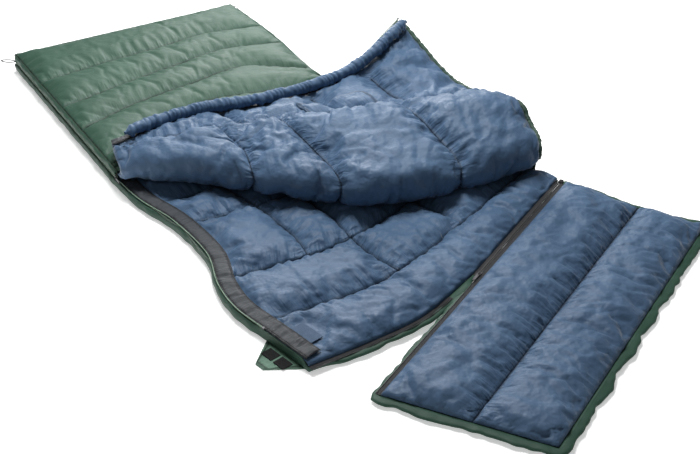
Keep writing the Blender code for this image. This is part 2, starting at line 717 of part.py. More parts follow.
def hood_zip_tape(name, start, end, side):
    """Half of the hood's zip tape; side is 1 on the body's half."""
    def place(share, row, above):
        across = side * (half_chain + COIL_RADIUS + GAP + (HOOD_TAPE_WIDTH if row else 0))
        return hood_zip_point(share, across, TAPE / 2 if above else -TAPE / 2)
    return slab(name, "zip_tape", [start, end], [0, 1], place)


def hood_zip_coil(name, start, end, side):
    ends = [hood_zip_point(share, side * half_chain) for share in (start, end)]
    return tube(name, "zip_coil", ends, COIL_RADIUS)


ZIP_FAR_SHARE = 1 - BOX_LENGTH / HOOD_LINE_LENGTH
open_end = VEE_SHARE - 2 * GAP / HOOD_LINE_LENGTH
for half, side in (("body", 1), ("hood", -1)):
    hood_zip_tape("hood_zip_tape_" + half, VEE_SHARE, ZIP_FAR_SHARE, side)
    hood_zip_coil("hood_zip_coil_" + half, VEE_SHARE, ZIP_FAR_SHARE, side)
edge_tape = hood_zip_tape("hood_edge_tape", 0, open_end, -1)
edge_coil = hood_zip_coil("hood_edge_coil", 0, open_end, -1)
box_at = hood_zip_point(ZIP_FAR_SHARE, 0) + HOOD_ALONG * (GAP + BOX_LENGTH / 2)
box("hood_zip_box", "zip_metal", (BOX_LENGTH - 2 * GAP, 2 * SLIDER_HALF_WIDTH, BOX_HEIGHT),
    axes_at(box_at, HOOD_ALONG, HOOD_ACROSS))

hood_slider_at = hood_zip_point(VEE_SHARE, 0) + HOOD_ALONG * SLIDER_LENGTH / 2
hood_frame = axes_at(hood_slider_at, HOOD_ALONG, HOOD_ACROSS)
slider("hood_slider", hood_frame)
pull("hood_pull", hood_frame)


def hood_rim(u, v, outside):
    point = hood_surface(u, v)
    return point + outside * (BINDING_RADIUS + 2 * GAP)


hood_side = Vector((HOOD_ALONG.x, HOOD_ALONG.y, 0))
hood_front = -HOOD_ACROSS
binding_points = [hood_rim(0, v, -hood_side) for v in HOOD_ROWS]
binding_points.append(hood_rim(0, 1, hood_front - hood_side))
binding_points += [hood_rim(u, 1, hood_front) for u in HOOD_COLUMNS]
binding_points.append(hood_rim(1, 1, hood_front + hood_side))
binding_points += [hood_rim(1, v, hood_side) for v in reversed(HOOD_ROWS)]
hood_binding = tube("hood_binding", "shell", binding_points, BINDING_RADIUS)
HOOD_AXIS_OFFSET = -HOOD_ACROSS * (RIM_OFFSET + GAP) + HOOD_UP * LAYER / 2
hood_pieces += [edge_tape, edge_coil, hood_binding]
hang_on_axis("hood_axis", hood_line(0.5) + HOOD_AXIS_OFFSET, hood_pieces)

# ---------------------------------------------------------------- head edge's zip half

head_columns = [u for u in COLUMNS if u <= VEE_COLUMN]
head_path = [head_edge(u) for u in head_columns]
head_path = [point + UP * head_rise(point) for point in head_path]
head_normals = [-side for side in outward_normals(head_path)]


def head_tape_place(index, row, side):
    reach = GAP * 2 + (HOOD_TAPE_WIDTH if row else 0)
    height = BOTTOM_MIDDLE + (TAPE / 2 if side else -TAPE / 2)
    return head_path[index] + head_normals[index] * reach + UP * height


slab("head_tape", "zip_tape", list(range(len(head_path) - 1)), [0, 1], head_tape_place)
head_coil_reach = HOOD_TAPE_WIDTH + 3 * GAP + COIL_RADIUS
head_coil_points = [point + side * head_coil_reach + UP * BOTTOM_MIDDLE
                    for point, side in zip(head_path[:-1], head_normals[:-1])]
tube("head_coil", "zip_coil", head_coil_points, COIL_RADIUS)

# ---------------------------------------------------------------- closing tab at the head end of the zip

tab_start = near_edge(ZIP_END_ROW)
tab_along = flat(near_edge(1) - tab_start).normalized()
tab_out = tab_along.cross(UP)
tab_centre = near_edge(1).lerp(tab_start, 0.5) + tab_out * TAB_CLEARANCE
tab_frame = axes_at(tab_centre + UP * TAB_THICKNESS / 2, -tab_along, tab_out)
half_tab = TAB_LENGTH / 2
tab_outline = [(-half_tab, 0), (half_tab, 0), (half_tab * TAB_TIP_FAR, TAB_REACH),
               (half_tab * TAB_TIP_NEAR, TAB_REACH)]
zip_tab = cut_plate("zip_tab", "shell", [tab_outline], TAB_THICKNESS, tab_frame)
tab_pieces = [zip_tab]
patch_height = TAB_THICKNESS / 2 + GAP + PATCH_THICKNESS / 2
patch_outline = rectangle(-PATCH_SIZE / 2, PATCH_SIZE / 2, -PATCH_WIDTH / 2, PATCH_WIDTH / 2)
for number, side in ((1, -1), (2, 1)):
    place = tab_frame @ Matrix.Translation((side * PATCH_PITCH / 2, PATCH_REACH, patch_height))
    name = "tab_hook_patch_%d" % number
    tab_pieces.append(cut_plate(name, "hook_tape", [patch_outline], PATCH_THICKNESS, place))
# The fold lies level with the hook patches' upper face, so that they clear the quilt's edge.
TAB_AXIS_AT = tab_centre + UP * (TAB_THICKNESS + GAP + PATCH_THICKNESS)
hang_on_axis("tab_axis", TAB_AXIS_AT, tab_pieces)

loop_patch_at = tab_centre - tab_out * (FACING_INSET + FACING_WIDTH + PATCH_SIZE / 2)
loop_patch_frame = axes_at(loop_patch_at + UP * (LAYER + GAP + PATCH_THICKNESS / 2), -tab_along, tab_out)
loop_outline = rectangle(-PATCH_SIZE, PATCH_SIZE, -PATCH_SIZE / 2, PATCH_SIZE / 2)
cut_plate("tab_loop_patch", "hook_tape", [loop_outline], PATCH_THICKNESS, loop_patch_frame)

# ---------------------------------------------------------------- hanging loops at the foot corners


def hanging_loop(name, corner, heading):
    """A long loop of webbing that turns at its sewn end."""
    across = UP.cross(heading)
    root = corner + heading * (LOOP_CORD + 2 * GAP) + UP * ZIP_HEIGHT
    points = []
    for step in range(LOOP_POINTS):
        angle = step * math.tau / LOOP_POINTS
        run = (1 - math.cos(angle)) * LOOP_LENGTH / 2
        points.append(root + heading * run + across * math.sin(angle) * LOOP_HALF_WIDTH)
    loop = tube(name, "webbing", points, LOOP_CORD, closed=True)
    hang_on_axis(name + "_axis", root, [loop])


near_heading = (SIDE_OUT + FOOT_OUT).normalized()
near_corner = corner_points()[1][0] + near_heading * (TAPE_PLANE + 2 * GAP)
hanging_loop("hanging_loop_near", near_corner, near_heading)
far_heading = (FOOT_OUT - SIDE_OUT).normalized()
far_corner = plan(FOOT_FAR) + far_heading * GAP
hanging_loop("hanging_loop_far", far_corner, far_heading)
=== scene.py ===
"""The looks of a rectangular sleeping bag opened out as a quilt, with a zip-on hood panel.

Metres, +Z up, foot end at +Y, zip side at -X. Each quilted cover is a cloth cut on the layer's own
surface, sewn down along its seams and left to swell and gather between them.
"""
import math

import bpy
import numpy as np
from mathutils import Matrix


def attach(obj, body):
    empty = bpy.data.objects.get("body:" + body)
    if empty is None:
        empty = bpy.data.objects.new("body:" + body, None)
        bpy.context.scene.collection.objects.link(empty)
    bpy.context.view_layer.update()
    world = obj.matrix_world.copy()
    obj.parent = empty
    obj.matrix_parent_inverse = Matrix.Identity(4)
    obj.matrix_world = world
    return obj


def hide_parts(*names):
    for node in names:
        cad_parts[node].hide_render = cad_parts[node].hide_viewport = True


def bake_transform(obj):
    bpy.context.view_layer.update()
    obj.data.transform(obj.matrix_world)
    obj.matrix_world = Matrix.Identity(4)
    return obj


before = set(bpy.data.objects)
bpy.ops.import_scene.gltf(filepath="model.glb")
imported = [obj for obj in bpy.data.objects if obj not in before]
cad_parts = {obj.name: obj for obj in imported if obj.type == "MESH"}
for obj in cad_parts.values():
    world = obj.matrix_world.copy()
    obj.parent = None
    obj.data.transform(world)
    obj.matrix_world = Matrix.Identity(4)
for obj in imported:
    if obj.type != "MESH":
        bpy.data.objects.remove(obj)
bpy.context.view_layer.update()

# ------------------------------------------------------------------ camera, floor and studio light
# A camera that looks down on the quilt from its zip side, a pale sweep under it, and soft boxes
# overhead, beyond the foot end and behind the camera.

CAMERA_AT = (-1.1654, -2.0627, 1.2237)
CAMERA_DOWN = math.radians(32)
CAMERA_TURN = math.radians(-34.39)
LENS = 51.43

camera = bpy.data.objects.new("camera", bpy.data.cameras.new("camera"))
bpy.context.scene.collection.objects.link(camera)
camera.location = CAMERA_AT
camera.rotation_euler = (math.pi / 2 - CAMERA_DOWN, 0, CAMERA_TURN)
camera.data.lens = LENS
camera.data.sensor_width = 36
bpy.context.scene.camera = camera


class Socket:
    """A shader value that Python's own operators work on."""

    def __init__(self, finish, output):
        self.finish = finish
        self.output = output

    def maths(self, operation, first, second=None):
        values = {0: first} if second is None else {0: first, 1: second}
        return self.finish.node("ShaderNodeMath", {"operation": operation}, values)

    def __add__(self, other):
        return self.maths("ADD", self, other)

    def __sub__(self, other):
        return self.maths("SUBTRACT", self, other)

    def __mul__(self, other):
        return self.maths("MULTIPLY", self, other)

    def __truediv__(self, other):
        return self.maths("DIVIDE", self, other)

    def __lt__(self, other):
        return self.maths("LESS_THAN", self, other)

    def __radd__(self, other):
        return self.maths("ADD", other, self)

    def __rsub__(self, other):
        return self.maths("SUBTRACT", other, self)

    def sine(self):
        return self.maths("SINE", self)

    def fraction(self):
        return self.maths("FRACT", self)

    def held(self):
        return self.finish.node("ShaderNodeClamp", {}, {0: self})


class Finish:
    """A material on one Principled shader, with the nodes that feed it."""

    def __init__(self, name, colour, roughness, **constants):
        self.material = bpy.data.materials.new(name)
        self.material.use_nodes = True
        self.tree = self.material.node_tree
        self.shader = self.tree.nodes["Principled BSDF"]
        self.set("Base Color", (*colour, 1))
        self.set("Roughness", roughness)
        for key, value in constants.items():
            self.set(key.replace("_", " ").title().replace("Ior", "IOR"), value)

    def set(self, name, value):
        if isinstance(value, Socket):
            self.tree.links.new(value.output, self.shader.inputs[name])
        else:
            self.shader.inputs[name].default_value = value

    def node(self, kind, settings, values, output=0):
        made = self.tree.nodes.new(kind)
        for key, value in settings.items():
            setattr(made, key, value)
        for key, value in values.items():
            if isinstance(value, Socket):
                self.tree.links.new(value.output, made.inputs[key])
            else:
                made.inputs[key].default_value = value
        return Socket(self, made.outputs[output])

    def place(self):
        return self.node("ShaderNodeTexCoord", {}, {}, "Object")

    def noise(self, at, scale, detail=3.0, rough=0.55):
        values = {"Vector": at, "Scale": scale, "Detail": detail, "Roughness": rough}
        return self.node("ShaderNodeTexNoise", {}, values)

    def scaled(self, at, factors):
        return self.node("ShaderNodeVectorMath", {"operation": "MULTIPLY"}, {0: at, 1: factors})

    def mix(self, factor, first, second):
        values = {0: factor, 6: first, 7: second}
        return self.node("ShaderNodeMix", {"data_type": "RGBA"}, values, 2)

    def bump(self, height, distance, strength, under=None):
        values = {"Height": height, "Distance": distance, "Strength": strength}
        if under:
            values["Normal"] = under
        return self.node("ShaderNodeBump", {}, values)

    def rub(self, worn, gain, low, colour, light, roughness, spread):
        """Lighter, rougher spots where the finish is rubbed."""
        self.set("Base Color", self.mix((worn * gain - low).held(), (*colour, 1), (*light, 1)))
        self.set("Roughness", roughness + worn * spread)


def deselect():
    bpy.ops.object.select_all(action="DESELECT")


deselect()
bpy.ops.mesh.primitive_plane_add(size=14, location=(0, 0, -0.0005))
floor = bpy.context.object
floor.name = "floor"
sweep = Finish("studio_floor", (0.92, 0.92, 0.92), 0.85, emission_strength=0.45)
sweep.set("Emission Color", (1, 1, 1, 1))
floor.data.materials.append(sweep.material)

SOFT_BOXES = [("overhead", (0.15, 0.35, 2.2), (0, -0.1, 0), 0.9, 62),
              ("from_foot", (1.3, 2.0, 1.3), (0, 0.0, 0), 1.1, 52),
              ("from_head", (-1.9, -2.4, 2.4), (0, -0.3, 0), 2.4, 3)]


def soft_box(name, at, target, size, power):
    lamp = bpy.data.objects.new(name, bpy.data.lights.new(name, "AREA"))
    bpy.context.scene.collection.objects.link(lamp)
    lamp.data.size = size
    lamp.data.energy = power
    lamp.location = at
    aim = np.subtract(target, at)
    level = math.hypot(aim[0], aim[1])
    lamp.rotation_euler = (math.atan2(level, -aim[2]), 0, math.atan2(aim[1], aim[0]) - math.pi / 2)


for box in SOFT_BOXES:
    soft_box(*box)
sky = bpy.data.worlds.new("studio")
sky.use_nodes = True
sky.node_tree.nodes["Background"].inputs["Color"].default_value = (1, 1, 1, 1)
sky.node_tree.nodes["Background"].inputs["Strength"].default_value = 0.12
bpy.context.scene.world = sky
bpy.context.scene.view_settings.view_transform = "Standard"

# ------------------------------------------------------------------ bottom lining
# The blue inner cloth of the bottom layer: a soft brushed polyester, sewn through the fill along
# cross seams and short lengthwise seams, and turned in at the rim over the zip tape.

HALF_WIDTH = 0.40
HALF_LENGTH = 0.85
LAYER = 0.024
CAVITY = 0.012
BOTTOM_MIDDLE = LAYER / 2
TOP_MIDDLE = 1.5 * LAYER + CAVITY
ZIP_HEIGHT = LAYER + CAVITY / 2
RIM_OFFSET = 0.011
HEAD_RISE = 0.040
RISE_REACH = 0.26
SPLIT_ROW = 0.5035
VEE_COLUMN = 0.52
VEE_SHARE = 0.48
ZIP_END_ROW = 0.92


def plan(across, along, height=0.0):
    return np.array([across * HALF_WIDTH, along * HALF_LENGTH, height])


FOOT_NEAR = plan(-0.975, 1.035)
FOOT_FAR = plan(0.940, 1.062)
ZIP_SPLIT = plan(-1.071, 0.018)
OPEN_EDGE = [plan(-1.060, -0.120), plan(-1.000, -0.275), plan(-1.000, -0.465), plan(-1.085, -0.600),
             plan(-1.110, -0.710), plan(-1.075, -0.830), plan(-1.030, -0.972)]
FAR_EDGE = [plan(0.865, 0.660), plan(0.750, 0.300), plan(0.800, -0.100), plan(0.960, -0.500)]
HEAD_EDGE = [plan(-0.590, -0.981), plan(-0.315, -0.975)]
UP = np.array([0, 0, 1.0])
HOOD_START = plan(-0.8825, -1.1235, BOTTOM_MIDDLE)
HOOD_END = plan(1.075, -0.739, BOTTOM_MIDDLE + HEAD_RISE)
HOOD_RUN = np.linalg.norm(HOOD_END - HOOD_START)
HOOD_ALONG = (HOOD_END - HOOD_START) / HOOD_RUN
HOOD_ACROSS = np.cross(UP, HOOD_ALONG)
HOOD_ACROSS = HOOD_ACROSS / np.linalg.norm(HOOD_ACROSS)
HOOD_FLAT = HOOD_ALONG * (1, 1, 0)


def unit(vectors):
    return vectors / np.maximum(np.linalg.norm(vectors, axis=-1, keepdims=True), 1e-9)


def between(a, b, c, d, t):
    """The smooth curve from b to c that heads for a behind it and d ahead of it."""
    bend = t * t * (2 * a - 5 * b + 4 * c - d) + t ** 3 * (3 * b - a - 3 * c + d)
    return 0.5 * (2 * b + t * (c - a) + bend)


def curve(points, share):
    """A smooth curve through evenly numbered points, at an array of shares."""
    points = np.array(points, float)
    ends = np.vstack([2 * points[0] - points[1], points, 2 * points[-1] - points[-2]])
    place = np.clip(np.asarray(share, float), 0, 1) * (len(points) - 1)
    index = np.minimum(place.astype(int), len(points) - 2)
    return between(*(ends[index + step] for step in range(4)), (place - index)[..., None])


def smooth_step(value):
    value = np.clip(value, 0, 1)
    return value * value * (3 - 2 * value)


def lerp(first, last, share):
    share = np.asarray(share, float)[..., None]
    return first * (1 - share) + last * share


def head_rise(point):
    """Lift of the floor under the layers, highest at the far end of the hood's zip."""
    offset = (point - HOOD_START) * (1, 1, 0)
    share = np.clip(offset @ HOOD_FLAT / (HOOD_FLAT @ HOOD_FLAT) / HOOD_RUN, 0, 1)
    distance = np.abs(offset @ HOOD_ACROSS) - RIM_OFFSET
    return HEAD_RISE * share * smooth_step(share / VEE_SHARE) * (1 - smooth_step(distance / RISE_REACH))


VEE_POINT = lerp(HOOD_START, HOOD_END, VEE_SHARE) * (1, 1, 0) + HOOD_ACROSS * RIM_OFFSET
FAR_HEAD_POINT = HOOD_END * (1, 1, 0) + HOOD_ACROSS * RIM_OFFSET
OPEN_POINTS = [ZIP_SPLIT] + OPEN_EDGE


def near_edge(v):
    v = np.asarray(v, float)
    closed = lerp(FOOT_NEAR, ZIP_SPLIT, v / SPLIT_ROW)
    opened = curve(OPEN_POINTS, (v - SPLIT_ROW) / (1 - SPLIT_ROW))
    return np.where((v <= SPLIT_ROW)[..., None], closed, opened)


def far_edge(v):
    return curve([FOOT_FAR] + FAR_EDGE + [FAR_HEAD_POINT], v)


def foot_edge(u):
    return lerp(FOOT_NEAR, FOOT_FAR, u)


def head_edge(u):
    u = np.asarray(u, float)
    beside_hood = lerp(VEE_POINT, FAR_HEAD_POINT, (u - VEE_COLUMN) / (1 - VEE_COLUMN))
    free = curve([OPEN_EDGE[-1]] + HEAD_EDGE + [VEE_POINT], u / VEE_COLUMN)
    return np.where((u >= VEE_COLUMN)[..., None], beside_hood, free)


def bottom_surface(u, v):
    """The middle of the bottom layer, stretched between its four edges."""
    sides = lerp(near_edge(v), far_edge(v), u) + lerp(foot_edge(u), head_edge(u), v)
    corners = lerp(lerp(FOOT_NEAR, FOOT_FAR, u), lerp(OPEN_EDGE[-1], FAR_HEAD_POINT, u), v)
    point = sides - corners
    return point + UP * (BOTTOM_MIDDLE + head_rise(point))[..., None]


def snapped(first, last, count, values):
    """Evenly spaced numbers, the nearest ones moved onto the given values."""
    numbers = np.linspace(first, last, count + 1)
    for value in values:
        numbers[np.argmin(np.abs(numbers - value))] = value
    return numbers


def spaced(*stretches):
    """Row numbers, evenly spaced within each stretch of (first, last, count)."""
    rows = [np.linspace(*stretch, endpoint=False) for stretch in stretches[:-1]]
    return np.concatenate(rows + [np.linspace(*stretches[-1])])


def ripple(x, y, seed, length, waves=7):
    """A smooth random field from -1 to 1, with waves of about the given length."""
    random = np.random.default_rng(seed)
    total = np.zeros(np.broadcast(x, y).shape)
    for turn, size, phase in zip(*random.random((3, waves))):
        pitch = math.tau / (length * (0.6 + 0.9 * size))
        heading = x * math.cos(math.pi * turn) + y * math.sin(math.pi * turn)
        total += np.sin(pitch * heading + phase * math.tau)
    return total / math.sqrt(waves) / 1.4


def folds(x, y, seed, length, waves=7):
    """A random field of soft lumps parted by narrow creases, from -1 to 1."""
    return 1 - 2 * np.abs(np.abs(ripple(x, y, seed, length, waves)) * 1.6 - 1).clip(0, 1)


class Panel:
    """A quilted cloth on a grid: where it lies, its flat coordinates and its distance to each seam."""

    def __init__(self, middle, columns, rows, cross=(), lengthwise=()):
        self.columns = columns
        self.rows = rows
        self.middle = middle(columns[None, :], rows[:, None])
        along_rows = np.gradient(self.middle, axis=0)
        along_columns = np.gradient(self.middle, axis=1)
        self.normal = unit(np.cross(along_rows, along_columns))
        steps = np.linalg.norm(np.diff(self.middle, axis=0), axis=-1)
        self.down = np.vstack([np.zeros((1, len(columns))), np.cumsum(steps, axis=0)])
        steps = np.linalg.norm(np.diff(self.middle, axis=1), axis=-1)
        self.side = np.hstack([np.zeros((len(rows), 1)), np.cumsum(steps, axis=1)])
        far = np.full(self.down.shape, 1.0)
        self.cross = far.copy()
        for value in cross:
            row = np.argmin(np.abs(rows - value))
            self.cross = np.minimum(self.cross, np.abs(self.down - self.down[row]))
        self.lengthwise = far.copy()
        for share, first, last in lengthwise:
            column = np.argmin(np.abs(columns - share))
            beside = np.abs(self.side - self.side[:, column:column + 1])
            low, high = (self.down[np.argmin(np.abs(rows - end))] for end in (first, last))
            beyond = np.maximum(np.maximum(low - self.down, self.down - high), 0)
            self.lengthwise = np.minimum(self.lengthwise, np.hypot(beside, beyond))
        self.edges = {"near": self.side, "far": self.side[:, -1:] - self.side,
                      "first": self.down, "last": self.down[-1:] - self.down}
        self.flat = np.stack([self.side, self.down], axis=-1)
        self.seams = {"cross": self.cross, "lengthwise": self.lengthwise}

    def swell(self, loft, reach, seam_height, **edge_heights):
        """Height of the cloth over the layer's middle: down at each seam and edge, round between."""
        def rounded(distance, low):
            share = np.clip(distance / reach, 0, 1)
            return low + (loft - low) * np.sqrt(1 - (1 - share) ** 2)
        height = rounded(np.minimum(self.cross, self.lengthwise), seam_height)
        for name, low in edge_heights.items():
            height = np.minimum(height, rounded(self.edges[name], low))
        return height

    def puckers(self, seed, depth):
        """Short gathers that run square to the seams and fade between them."""
        def gathers(distance, run, number):
            window = np.clip(distance / 0.010, 0, 1) * np.exp(-distance / 0.045)
            fine = ripple(run, distance * 0.22, seed + number, 0.026)
            return window * (fine + 0.6 * ripple(run, distance * 0.3, seed + number + 20, 0.05))
        crossing = gathers(self.cross, self.side, 0)
        lengthwise = gathers(self.lengthwise, self.down, 1)
        creases = 0.55 * folds(self.side, self.down, seed + 2, 0.16, 9)
        creases += 0.40 * folds(self.side, self.down, seed + 3, 0.075, 9)
        inside = np.clip(np.minimum(self.cross, self.lengthwise) / 0.02, 0, 1)
        for name, distance in self.edges.items():
            inside = np.minimum(inside, np.clip(distance / 0.02, 0, 1))
        return depth * (crossing + lengthwise + creases) * inside


def corners_of(mesh):
    places = np.empty(len(mesh.vertices) * 3)
    mesh.vertices.foreach_get("co", places)
    return places.reshape(-1, 3)


def grid_piece(name, points, flat=None, attributes=None, flip=False):
    """A mesh of quads from a grid of points, rows by columns."""
    rows, columns = points.shape[:2]
    deselect()
    bpy.ops.mesh.primitive_grid_add(x_subdivisions=columns - 1, y_subdivisions=rows - 1, size=2)
    piece = bpy.context.object
    piece.name = name
    mesh = piece.data
    corners = corners_of(mesh)
    column = np.rint((corners[:, 0] + 1) / 2 * (columns - 1)).astype(int)
    row = np.rint((corners[:, 1] + 1) / 2 * (rows - 1)).astype(int)
    mesh.vertices.foreach_set("co", points[row, column].ravel())
    loops = np.empty(len(mesh.loops), int)
    mesh.loops.foreach_get("vertex_index", loops)
    if flat is not None:
        layer = mesh.uv_layers[0]
        layer.data.foreach_set("uv", flat[row, column][loops].ravel())
    for key, values in (attributes or {}).items():
        attribute = mesh.attributes.new(key, "FLOAT", "POINT")
        attribute.data.foreach_set("value", values[row, column].astype(np.float32))
    if flip:
        mesh.flip_normals()
    mesh.shade_smooth()
    mesh.update()
    return piece, row, column


CLOTH_SETTINGS = {"quality": 4, "mass": 0.3, "air_damping": 2.0, "tension_stiffness": 12,
                  "compression_stiffness": 12, "shear_stiffness": 4, "bending_stiffness": 0.02,
                  "vertex_group_mass": "sewn", "pin_stiffness": 1.0, "use_pressure": True}


def settle(piece, held, growth, pressure, cap, frames=20):
    """Cloth simulation: the cloth is cut a little large and swells; held corners stay sewn down."""
    mesh = piece.data
    before = corners_of(mesh)
    group = piece.vertex_groups.new(name="sewn")
    group.add([int(index) for index in np.nonzero(held)[0]], 1.0, "REPLACE")
    cloth = piece.modifiers.new("cloth", "CLOTH")
    for key, value in CLOTH_SETTINGS.items():
        setattr(cloth.settings, key, value)
    cloth.settings.shrink_min = -growth
    cloth.settings.shrink_max = -growth
    cloth.settings.uniform_pressure_force = pressure
    cloth.settings.effector_weights.gravity = 0
    cloth.collision_settings.use_collision = False
    cloth.collision_settings.use_self_collision = False
    cloth.point_cache.frame_start = 1
    cloth.point_cache.frame_end = frames
    for step in range(1, frames + 1):
        bpy.context.scene.frame_set(step)
    graph = bpy.context.evaluated_depsgraph_get()
    after = corners_of(piece.evaluated_get(graph).data)
    piece.modifiers.remove(cloth)
    piece.vertex_groups.clear()
    bpy.context.scene.frame_set(1)
    move = after - before
    length = np.linalg.norm(move, axis=1, keepdims=True)
    move = move * np.minimum(1, cap / np.maximum(length, 1e-9))
    mesh.vertices.foreach_set("co", (before + move).ravel())
    mesh.update()
    print("settled", piece.name, "largest move", round(float(length.max()), 4))


def quilted(name, panel, side, heights, growth, pressure, cap, flattened=None):
    """A quilted cover on one side of a panel's middle: its mesh, sewn lines and settled shape."""
    points = panel.middle + panel.normal * (side * heights)[..., None]
    piece, row, column = grid_piece(name, points, panel.flat, panel.seams, side > 0)
    nearest = np.minimum(panel.cross, panel.lengthwise)
    for distance in panel.edges.values():
        nearest = np.minimum(nearest, distance)
    sewn = (nearest < 0.0012) if flattened is None else (nearest < 0.0012) | flattened
    settle(piece, sewn[row, column], growth, pressure, cap)
    panel.settled = points.copy()
    panel.settled[row, column] = corners_of(piece.data)
    return piece


def apply(piece, kind, **settings):
    deselect()
    piece.select_set(True)
    bpy.context.view_layer.objects.active = piece
    modifier = piece.modifiers.new("step", kind)
    for key, value in settings.items():
        setattr(modifier, key, value)
    bpy.ops.object.modifier_apply(modifier=modifier.name)


def dressed(piece, material, nodes, body=None, bend=None, thickness=None):
    """Finishes a piece: cloth thickness, material, the nodes it stands for and how it moves."""
    if thickness:
        apply(piece, "SOLIDIFY", thickness=thickness, offset=-1)
    piece.data.materials.append(material)
    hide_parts(*nodes)
    if body:
        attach(piece, body)
    if bend:
        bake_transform(piece)


def joined(name, pieces, merge=0.0002):
    """Sews pieces into one cloth along the corners they share."""
    deselect()
    for piece in pieces:
        piece.select_set(True)
    bpy.context.view_layer.objects.active = pieces[0]
    bpy.ops.object.join()
    whole = bpy.context.object
    whole.name = name
    bpy.ops.object.mode_set(mode="EDIT")
    bpy.ops.mesh.select_all(action="SELECT")
    bpy.ops.mesh.remove_doubles(threshold=merge)
    bpy.ops.object.mode_set(mode="OBJECT")
    whole.data.shade_smooth()
    return whole


SEAM_LINE = 0.0007
SEAM_GROOVE = 0.002
SEAM_SHADE = 0.006
GATHER_REACH = 0.045
STITCHES_PER_METRE = 300
WEAVE = 5200


def quilt_cloth(name, colour, deep, light, roughness, sheen, thread, crinkle, drawn_in):
    """Quilting cloth: fine weave, slubs, soft creases, a stitched line and painted shade along each seam."""
    cloth = Finish(name, colour, roughness, sheen_weight=sheen, sheen_roughness=0.4, specular_ior_level=0.22)
    place = cloth.place()
    flat = cloth.node("ShaderNodeUVMap", {}, {})
    parts = cloth.tree.nodes.new("ShaderNodeSeparateXYZ")
    cloth.tree.links.new(flat.output, parts.inputs[0])
    run, down = (Socket(cloth, parts.outputs[axis]) for axis in (0, 1))
    seams = []
    for key, along, stretch in (("cross", run, (95, 14, 1)), ("lengthwise", down, (14, 95, 1))):
        distance = cloth.node("ShaderNodeAttribute", {"attribute_name": key}, {}, "Fac")
        stitches = (distance < SEAM_LINE) * ((along * STITCHES_PER_METRE).fraction() < 0.7)
        # Painted shade: a mask that darkens the cloth towards each seam line, standing in for the shadow in the
        # seam's groove.
        painted_groove_shade = 1 - (distance / SEAM_SHADE).held()
        drawn = cloth.noise(cloth.scaled(flat, stretch), 1.0, 2.0) * (1 - (distance / GATHER_REACH).held())
        seams.append((distance, stitches, painted_groove_shade, drawn))
    (cross, stitched, painted_cross_shade, gathered), (lengthwise, stitched_two, painted_lengthwise_shade, gathered_two) = seams
    patches = cloth.noise(place, 5.0, 2.0)
    slubs = cloth.noise(cloth.scaled(flat, (90, 900, 1)), 1.0, 2.0)
    shade = (patches * 0.9 + slubs * 0.35 - 0.12).held()
    body = cloth.mix(shade, (*deep, 1), (*light, 1))
    # Painted shade: beside the seams the colour is mixed towards a near-black copy of the deep colour.
    body = cloth.mix(((painted_cross_shade + painted_lengthwise_shade) * 0.85).held(), body, (*[value * 0.25 for value in deep], 1))
    body = cloth.mix((stitched + stitched_two).held(), body, (*thread, 1))
    cloth.set("Base Color", body)
    cloth.set("Roughness", roughness + patches * 0.12 - 0.06)
    weave = (run * WEAVE).sine() * (down * WEAVE).sine()
    creases = cloth.noise(place, 17.0, 3.0, 0.5)
    fine = cloth.noise(place, 140.0, 3.0, 0.6)
    groove = (cross / SEAM_GROOVE).held() * (lengthwise / SEAM_GROOVE).held()
    surface = cloth.bump(weave, 0.00012, 0.35)
    surface = cloth.bump(fine, 0.0012, crinkle * 0.35, surface)
    surface = cloth.bump(creases, 0.016, crinkle, surface)
    surface = cloth.bump(gathered + gathered_two, 0.010, drawn_in, surface)
    cloth.set("Normal", cloth.bump(groove, 0.0015, 1.0, surface))
    return cloth.material


LINING = quilt_cloth("brushed_lining", (0.066, 0.124, 0.215), (0.042, 0.086, 0.160), (0.098, 0.172, 0.285),
                     roughness=0.50, sheen=0.12, thread=(0.010, 0.018, 0.04), crinkle=0.80, drawn_in=0.9)

BOTTOM_CROSS = [0.12, 0.24, 0.36, 0.48, 0.585, 0.65, 0.773, 0.90]
BOTTOM_LENGTHWISE = [(0.25, 0.585, 0.773), (0.42, 0.65, 0.90), (0.62, 0.585, 0.65), (0.68, 0.773, 0.90),
                     (0.83, 0.65, 0.773)]
VISIBLE_ROW = 0.50

bottom_columns = snapped(0, 1, 132, [share for share, first, last in BOTTOM_LENGTHWISE])
bottom_rows = np.concatenate([np.linspace(0, VISIBLE_ROW, 44, endpoint=False),
                              snapped(VISIBLE_ROW, 1, 142, BOTTOM_CROSS[4:])])
for seam in BOTTOM_CROSS[:4]:
    bottom_rows[np.argmin(np.abs(bottom_rows - seam))] = seam
bottom = Panel(bottom_surface, bottom_columns, bottom_rows, BOTTOM_CROSS, BOTTOM_LENGTHWISE)
heights = bottom.swell(loft=0.0135, reach=0.042, seam_height=-0.002, near=0.0095, far=0.004, first=0.004,
                       last=0.0015)
heights += bottom.puckers(seed=11, depth=0.0034)
under_top = smooth_step((bottom_rows - 0.47) / 0.05)[:, None]
heights = np.minimum(heights, 0.0125 + 0.02 * under_top)
FACING_BED = 0.043
BED_HEIGHT = 0.0095
PATCH_BED = 0.036
PATCH_BED_HEIGHT = 0.0090

